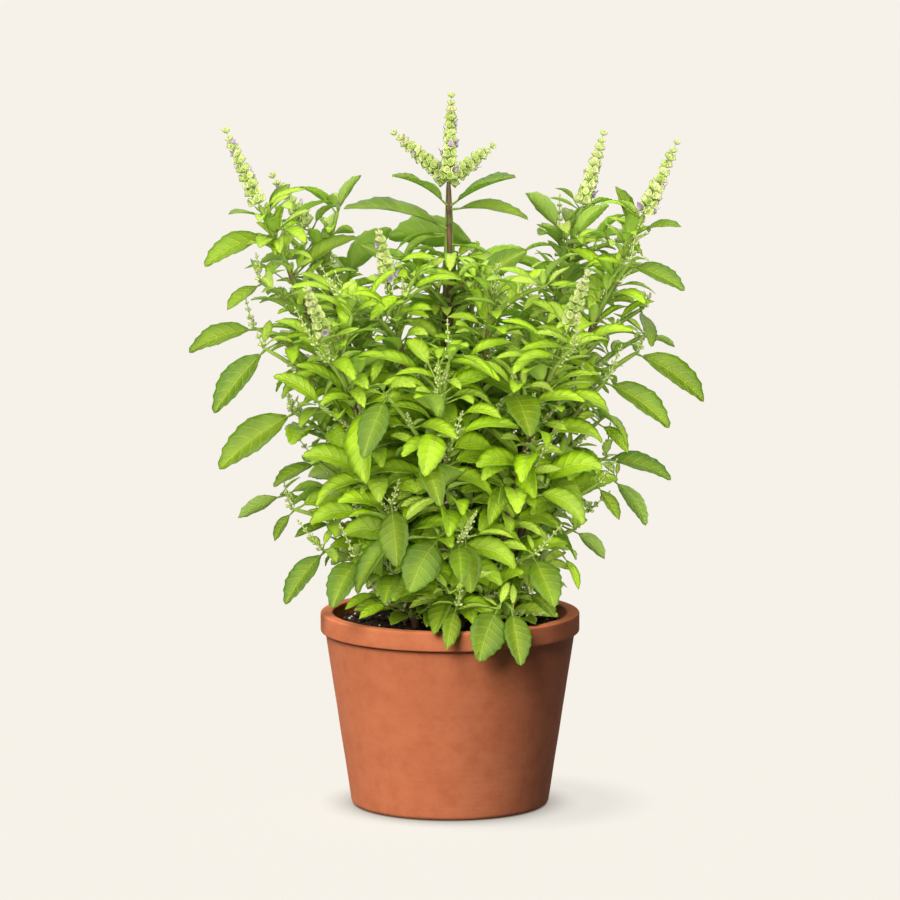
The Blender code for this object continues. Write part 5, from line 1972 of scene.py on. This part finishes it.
def add_stalk(bundle, points, radii, nodes, age, tone, sides):
    """Adds a ridged tube with a swelling at each node and a mark for its age."""
    points = np.array([tuple(point) for point in points])
    steps = np.linalg.norm(np.diff(points, axis=0), axis=1)
    along = np.concatenate([[0.0], np.cumsum(steps)])
    swell = np.zeros(len(points))
    for node in nodes:
        swell = np.maximum(swell, np.exp(-((along - node) / NODE_SPREAD) ** 2))
    shape = tube(points, np.asarray(radii) * (1 + NODE_SWELL * swell), sides, RIDGE)
    mark = np.stack([np.asarray(age), swell, np.full(len(points), tone)], 1)
    bundle.add(*shape, np.repeat(mark, sides, axis=0))


def add_stem(bundle, stem, tone):
    """Adds a stem, older towards its foot."""
    shares = np.linspace(0, 1, STEM_RINGS)
    points = [stem.path.points[0]] + [curve(stem.bend, share) for share in shares]
    length = stem.path.length - HOLE_DEPTH
    radii = [stem.radius(place) for place in [0.0] + [HOLE_DEPTH + length * t for t in shares]]
    radii[-1] *= 0.8
    least = LEAST_AGE.get(stem.name, 0.0)
    age = [1.0] + [max(1.0 - share ** 1.5, least) for share in shares]
    add_stalk(bundle, points, radii, stem.nodes, age, tone, 12)


def add_shoot(bundle, shoot, tone):
    """Adds a side shoot, younger towards its end and the higher it starts."""
    shares = np.linspace(0, 1, SHOOT_RINGS)
    points = [curve(shoot.bend, share) for share in shares]
    radii = [shoot.radius(shoot.path.length * share) for share in shares]
    radii[-2:] = [radii[-2] * 0.9, radii[-1] * 0.5]
    low = 1 - (shoot.bend[0].z - 150) / 420
    add_stalk(bundle, points, radii, shoot.nodes, [(0.5 - 0.5 * t) * low for t in shares], tone, 8)


print("rings of a stem:", STEM_RINGS, "and of a side shoot:", SHOOT_RINGS)

# %% Make the stalks
BIG_STALK = 24


def add_leaf_stalk(bundle, leaf):
    """Adds a leaf's stalk, which sags a little and runs under the blade's base."""
    big = leaf.length > BIG_STALK
    size = min(1.0, 0.35 + leaf.length / 60)
    forward = leaf.heading(0.0)[0]
    reach = leaf.petiole + 0.05 * leaf.length
    shares = np.linspace(0, 1, 5 if big else 3)
    sag = -0.035 * leaf.petiole * UP
    points = [leaf.root + forward * (reach * t) + sag * math.sin(math.pi * t) for t in shares]
    radii = [PETIOLE * size * (1.45 - 1.1 * t + 0.45 * t * t) for t in shares]
    age = [0.22 * (1 - leaf.young) * (1 - t) for t in shares]
    # The stalk takes its leaf's tone, with the painted shade of an outer leaf and the painted light
    # of an inner one
    add_stalk(bundle, points, radii, (), age, leaf.tone, 6 if big else 4)


def make_stalks(stem):
    """The piece with a stem, its side shoots and all leaf stalks."""
    dice = random.Random(f"stalks {stem.name}")
    bundle = Bundle()
    add_stem(bundle, stem, dice.random())
    for shoot in stem.shoots:
        add_shoot(bundle, shoot, dice.random())
    for leaf in stem.leaves:
        add_leaf_stalk(bundle, leaf)
    return bundle.make("stalks_" + stem.name, stem_material, ["stem_" + stem.name])


stalk_pieces = [make_stalks(stem) for stem in stems.values()]
print("stalk triangles:", sum(triangles(piece) for piece in stalk_pieces))

# %% Check the leaves against the solids


def gaps_to_solid(stem):
    """The distance from the tip of each of a stem's leaves to its solid."""
    tree = BVHTree.FromPolygons(*solid_shape("stem_" + stem.name))
    return [tree.find_nearest(leaf.spine(1.0))[3] for leaf in stem.leaves]


gaps = [gap for stem in stems.values() for gap in gaps_to_solid(stem)]
print("leaf tips on a solid's own leaf:", sum(gap < 0.5 for gap in gaps), "of", len(gaps))

# %% [markdown]
# ## Flower spikes
# Holy basil flowers in whorls: rings of six small green or purplish cups round a thin axis, each
# cup with a raised upper lip, and a pale lilac flower looking out of some of them. The youngest
# cups at the top are still buds. One cup is a few rings of points, and the spike sets it round the
# axis again and again with a small difference each time. Short young spikes also stand in the
# bush, at the ends of side shoots and in leaf corners, and give it its pale specks. They have
# fewer and plainer cups, because there are hundreds of them and each is only a few millimetres
# wide.

# %% Flower finish
CUP_GREEN = (0.28, 0.38, 0.07)
CUP_PALE = (0.54, 0.59, 0.24)
CUP_PURPLE = (0.27, 0.15, 0.17)
CUP_FLECK = (0.36, 0.42, 0.12)
BLOOM_PALE = (0.42, 0.35, 0.43)
BLOOM_DEEP = (0.32, 0.20, 0.37)


def flower_finish():
    """Green to purplish cups and pale lilac flowers."""
    finish = Finish("flower")
    petal, height, tone = finish.numbers("mark")
    fleck = finish.noise(900.0, 3.0, 0.6)
    green = finish.mix(CUP_GREEN, CUP_PALE, tone)
    cup = finish.mix(green, CUP_PURPLE, (tone * 0.7 + height * 0.5).step(0.70, 1.20) * 0.50)
    colour = finish.mix(cup, finish.mix(BLOOM_PALE, BLOOM_DEEP, height), petal)
    colour = finish.mix(colour, CUP_FLECK, fleck.step(0.55, 0.75) * 0.25)
    return finish.finish(Base_Color=colour, Roughness=0.58 + fleck * 0.12, Specular_IOR_Level=0.3,
                         Normal=finish.bump(fleck, 0.0002, 0.7))


flower_material = flower_finish()
print("nodes of the flower finish:", len(flower_material.node_tree.nodes))

# %% A cup
# Outlines from the foot to the mouth and back inside: share of the length, and of the radius
CUP = ((0.0, 0.30), (0.22, 0.72), (0.62, 0.92), (1.0, 1.12), (0.94, 0.90), (0.50, 0.62),
       (0.30, 0.20))
BLOOM = ((0.2, 0.30), (0.9, 0.42), (1.25, 0.75), (1.45, 1.25), (1.40, 1.05), (1.1, 0.45),
         (0.8, 0.20))
BUD = ((0.0, 0.30), (0.35, 0.80), (0.75, 0.70), (1.0, 0.12))
SMALL_CUP = ((0.0, 0.35), (0.55, 1.0), (1.0, 0.72))


def add_cup(bundle, profile, root, ahead, length, radius, mark, sides, lip=0.0):
    """Adds a small turned cup; a lip draws its upper rim forward."""
    side = ahead.cross(UP).normalized()
    upper = side.cross(ahead)
    points = []
    for reach, share in profile:
        for corner in range(sides):
            angle = math.tau * corner / sides
            x, y = math.cos(angle), math.sin(angle)
            forward = length * (reach + lip * max(0.0, y) * reach ** 3)
            points.append(root + ahead * forward + side * (radius * share * x)
                          + upper * (radius * share * y))
    bundle.add([tuple(point) for point in points], ring_faces(len(profile), sides), mark)


print("a cup of eight sides has", len(ring_faces(len(CUP), 8)), "faces")

# %% A spike
# What the fine spikes above the leaves and the plain young ones are made of
FINE = {"steps": 12, "sides": 6, "flowers": 6, "cup": CUP, "cup_sides": 8}
PLAIN = {"steps": 4, "sides": 4, "flowers": 4, "cup": SMALL_CUP, "cup_sides": 4}
BUDS_FROM = 0.8
AXIS_MARK = (0.0, 0.2, 0.35)
TIP_MARK = (0.0, 1.0, 0.6)


def add_flower(bundle, root, ahead, size, share, dice, bloom, kind):
    """Adds a bud high on a spike, or else a cup, with a flower in some of them."""
    mark = (0.0, share, dice.random())
    if share > BUDS_FROM:
        add_cup(bundle, BUD, root, ahead, size, size * 0.40, mark, kind["sides"])
        return
    add_cup(bundle, kind["cup"], root, ahead, size, size * 0.40, mark, kind["cup_sides"], lip=0.25)
    if dice.random() < bloom:
        add_cup(bundle, BLOOM, root, ahead, size * 0.80, size * 0.30,
                (1.0, dice.random(), 0.5), 6, lip=0.3)


def add_spike(bundle, axis, length, radius, whorls, dice, bloom, kind):
    """Adds a flower spike along an axis, a function from a height to a point."""
    steps = kind["steps"]
    points = [tuple(axis(length * step / steps)) for step in range(steps + 1)]
    bundle.add(*tube(points, np.linspace(0.75, 0.32, steps + 1), kind["sides"]), AXIS_MARK)
    for whorl in range(whorls):
        share = (whorl + WHORL_PLACE) / whorls
        place = axis(length * share)
        rise = (axis(length * share + 0.5) - place).normalized()
        side = rise.cross(Vector((0.3, 1.0, 0.1))).normalized()
        other = rise.cross(side)
        size = radius * (1.0 - SPIKE_TAPER * whorl / whorls)
        for flower in range(kind["flowers"]):
            angle = math.tau * (flower + 0.5 * (whorl % 2)) / kind["flowers"]
            angle += dice.uniform(-0.16, 0.16)
            out = side * math.cos(angle) + other * math.sin(angle)
            ahead = (out + rise * dice.uniform(0.15, 0.6) + rise * share).normalized()
            root = place + out * 0.3 - rise * dice.uniform(0.2, 1.2)
            reach = size * dice.uniform(0.84, 1.02)
            add_flower(bundle, root, ahead, reach, share, dice, bloom, kind)
    tip = axis(length)
    rise = (tip - axis(length - 1.0)).normalized()
    add_cup(bundle, BUD, tip - rise * 1.2, rise, 2.6, 0.9, TIP_MARK, kind["sides"])


print("flowers of a whorl:", FINE["flowers"], "or, on a plain spike,", PLAIN["flowers"])

# %% Spikes above the leaves
SPIKE_SHORT = 3.2
WHORLS_MORE = 1.7
SPIKE_BLOOM = 0.14


def make_spike(stem):
    """The piece with a stem's flower spike."""
    bundle = Bundle()
    dice = random.Random(f"spike {stem.name}")
    add_spike(bundle, lambda height: spike_axis(stem, height), stem.spike - SPIKE_SHORT,
              SPIKE_RADIUS, round(WHORLS_MORE * whorl_count(stem)), dice, SPIKE_BLOOM, FINE)
    return bundle.make("spike_" + stem.name, flower_material, ["flower_" + stem.name])


spikes = [make_spike(stem) for stem in stems.values() if stem.spike]
print("spike triangles:", sum(triangles(piece) for piece in spikes))

# %% Young spikes inside the bush
YOUNG_RADIUS = 3.0
YOUNG_WHORL = 5.0
YOUNG_BLOOM = 0.05


def make_young_spikes():
    """The piece with the short spikes that stand on side shoots."""
    bundle = Bundle()
    for number, (foot, rise, length) in enumerate(young_spikes):
        dice = random.Random(f"young cups {number}")
        add_spike(bundle, lambda height: young_axis(foot, rise, height), length, YOUNG_RADIUS,
                  max(2, round(length / YOUNG_WHORL)), dice, YOUNG_BLOOM, PLAIN)
    return bundle.make("young_spikes", flower_material)


young = make_young_spikes()
print("young spike triangles:", triangles(young))

# %% [markdown]
# ## Floor, light and camera
# The pot stands on a plain pale floor that runs on far behind it, so no edge shows. One wide soft
# sun could light it all, but clay, leaves and floor each want another share of it. So every group
# has its own wide suns, and light linking names the pieces that each one lights. The sun from the
# left and front makes the pot's left half glow and lets its right side fall dark. Others reach
# into the pot from above, and through the leaves from the front and the back, because leaves glow
# when light comes through them. The floor glows a little by itself and only the pot shades it, so
# its shadow is faint. Close to the pot a painted shadow darkens the floor's glow.

# %% Floor
PAPER = (0.115, 0.111, 0.102)
PAPER_GRAIN = (0.110, 0.106, 0.097)
FLOOR_SHADE = (0.20, 0.17, 0.13)
FLOOR_GLOW = (0.800, 0.768, 0.708)


def make_floor():
    """The plain floor, which glows a little, with a painted shadow where it is close to the pot."""
    bpy.ops.mesh.primitive_plane_add(size=80.0)
    floor = bpy.context.object
    floor.name = "floor"
    finish = Finish("floor")
    grain = finish.noise(600.0, 2.0, 0.5)
    # Ambient occlusion darkens the floor's glow towards FLOOR_SHADE close to the pot: a painted
    # contact shadow
    open_air = finish.node("ShaderNodeAmbientOcclusion", {"samples": 8}, {"Distance": 0.035}, "AO")
    finish.finish(Base_Color=finish.mix(PAPER, PAPER_GRAIN, grain.step(0.4, 0.6)),
                  Roughness=0.9, Specular_IOR_Level=0.0, Emission_Strength=1.0,
                  Emission_Color=finish.mix(FLOOR_SHADE, FLOOR_GLOW, open_air.step(0.1, 0.9)))
    floor.data.materials.append(finish.material)
    floor.visible_diffuse = False
    return floor


floor = make_floor()
print("the floor is", round(floor.dimensions.x), "m wide")

# %% Suns
SUN = (1.0, 0.985, 0.95)
greenery = leaf_pieces + stalk_pieces + spikes + [young]
potting = [pot, soil, crumbs, bark, perlite]

# Each sun: name, azimuth, height, strength, spread, colour, and what it lights
SUNS = (
    ("pot light", -31, 38, 4.35, 34, SUN, potting),
    ("soil light", 0, 86, 3.0, 56, (1.0, 1.0, 0.98), potting),
    ("pot back", 206, 32, 1.5, 60, SUN, potting),
    ("floor light", -88, 74.5, 3.4, 17, SUN, [floor]),
    ("leaf light", -10, 48, 3.2, 100, (1.0, 0.99, 0.93), greenery),
    ("leaf front", 4, 15, 5.8, 120, (1.0, 1.0, 0.97), greenery),
    ("leaf back", 184, 26, 3.6, 90, (1.0, 1.0, 0.95), greenery),
)


def make_sun(name, azimuth, height, strength, spread, colour, only, shades=()):
    """A sun that shines from an azimuth, counted from the camera's side, and a height.

    It lights nothing but the pieces in only, and where shades are given, only they cast a shadow.
    """
    light = bpy.data.lights.new(name, "SUN")
    light.energy = strength
    light.angle = math.radians(spread)
    light.color = colour
    lamp = bpy.data.objects.new(name, light)
    bpy.context.scene.collection.objects.link(lamp)
    turn, rise = math.radians(azimuth), math.radians(height)
    source = Vector((math.sin(turn) * math.cos(rise), -math.cos(turn) * math.cos(rise),
                     math.sin(rise)))
    lamp.rotation_euler = source.to_track_quat("Z", "Y").to_euler()
    lit = bpy.data.collections.new(name + " lights")
    for piece in only:
        lit.objects.link(piece)
    lamp.light_linking.receiver_collection = lit
    if shades:
        shading = bpy.data.collections.new(name + " shades")
        for piece in shades:
            shading.objects.link(piece)
        lamp.light_linking.blocker_collection = shading


for name, azimuth, height, strength, spread, colour, lit in SUNS:
    make_sun(name, azimuth, height, strength, spread, colour, lit,
             shades=potting if lit == [floor] else ())
print("suns:", len(SUNS))

# %% Air
world = bpy.data.worlds.new("studio")
bpy.context.scene.world = world
world.use_nodes = True
air = world.node_tree.nodes["Background"]
air.inputs["Color"].default_value = (0.93, 0.90, 0.83, 1.0)
air.inputs["Strength"].default_value = 0.07
print("the air's strength:", round(air.inputs["Strength"].default_value, 2))
bpy.context.scene.view_settings.view_transform = "Standard"

# %% Camera
LOOK_AT = Vector((0.0, 0.0, 0.248))
DISTANCE = 4.0
ELEVATION = math.radians(8.0)
LENS = 231.0


def make_camera():
    """A long lens from the front and slightly above."""
    camera = bpy.data.objects.new("camera", bpy.data.cameras.new("camera"))
    bpy.context.scene.collection.objects.link(camera)
    camera.data.lens = LENS
    camera.data.sensor_width = 36.0
    camera.data.clip_end = 60.0
    away = Vector((0.0, -math.cos(ELEVATION), math.sin(ELEVATION)))
    camera.location = LOOK_AT + away * DISTANCE
    camera.rotation_euler = away.to_track_quat("Z", "Y").to_euler()
    bpy.context.scene.camera = camera
    print("camera at", [round(value, 3) for value in camera.location])


make_camera()
pieces = [thing for thing in bpy.context.scene.objects
          if thing.type == "MESH" and not thing.hide_render and thing is not floor]
print("pieces:", len(pieces), "triangles:", sum(triangles(piece) for piece in pieces))
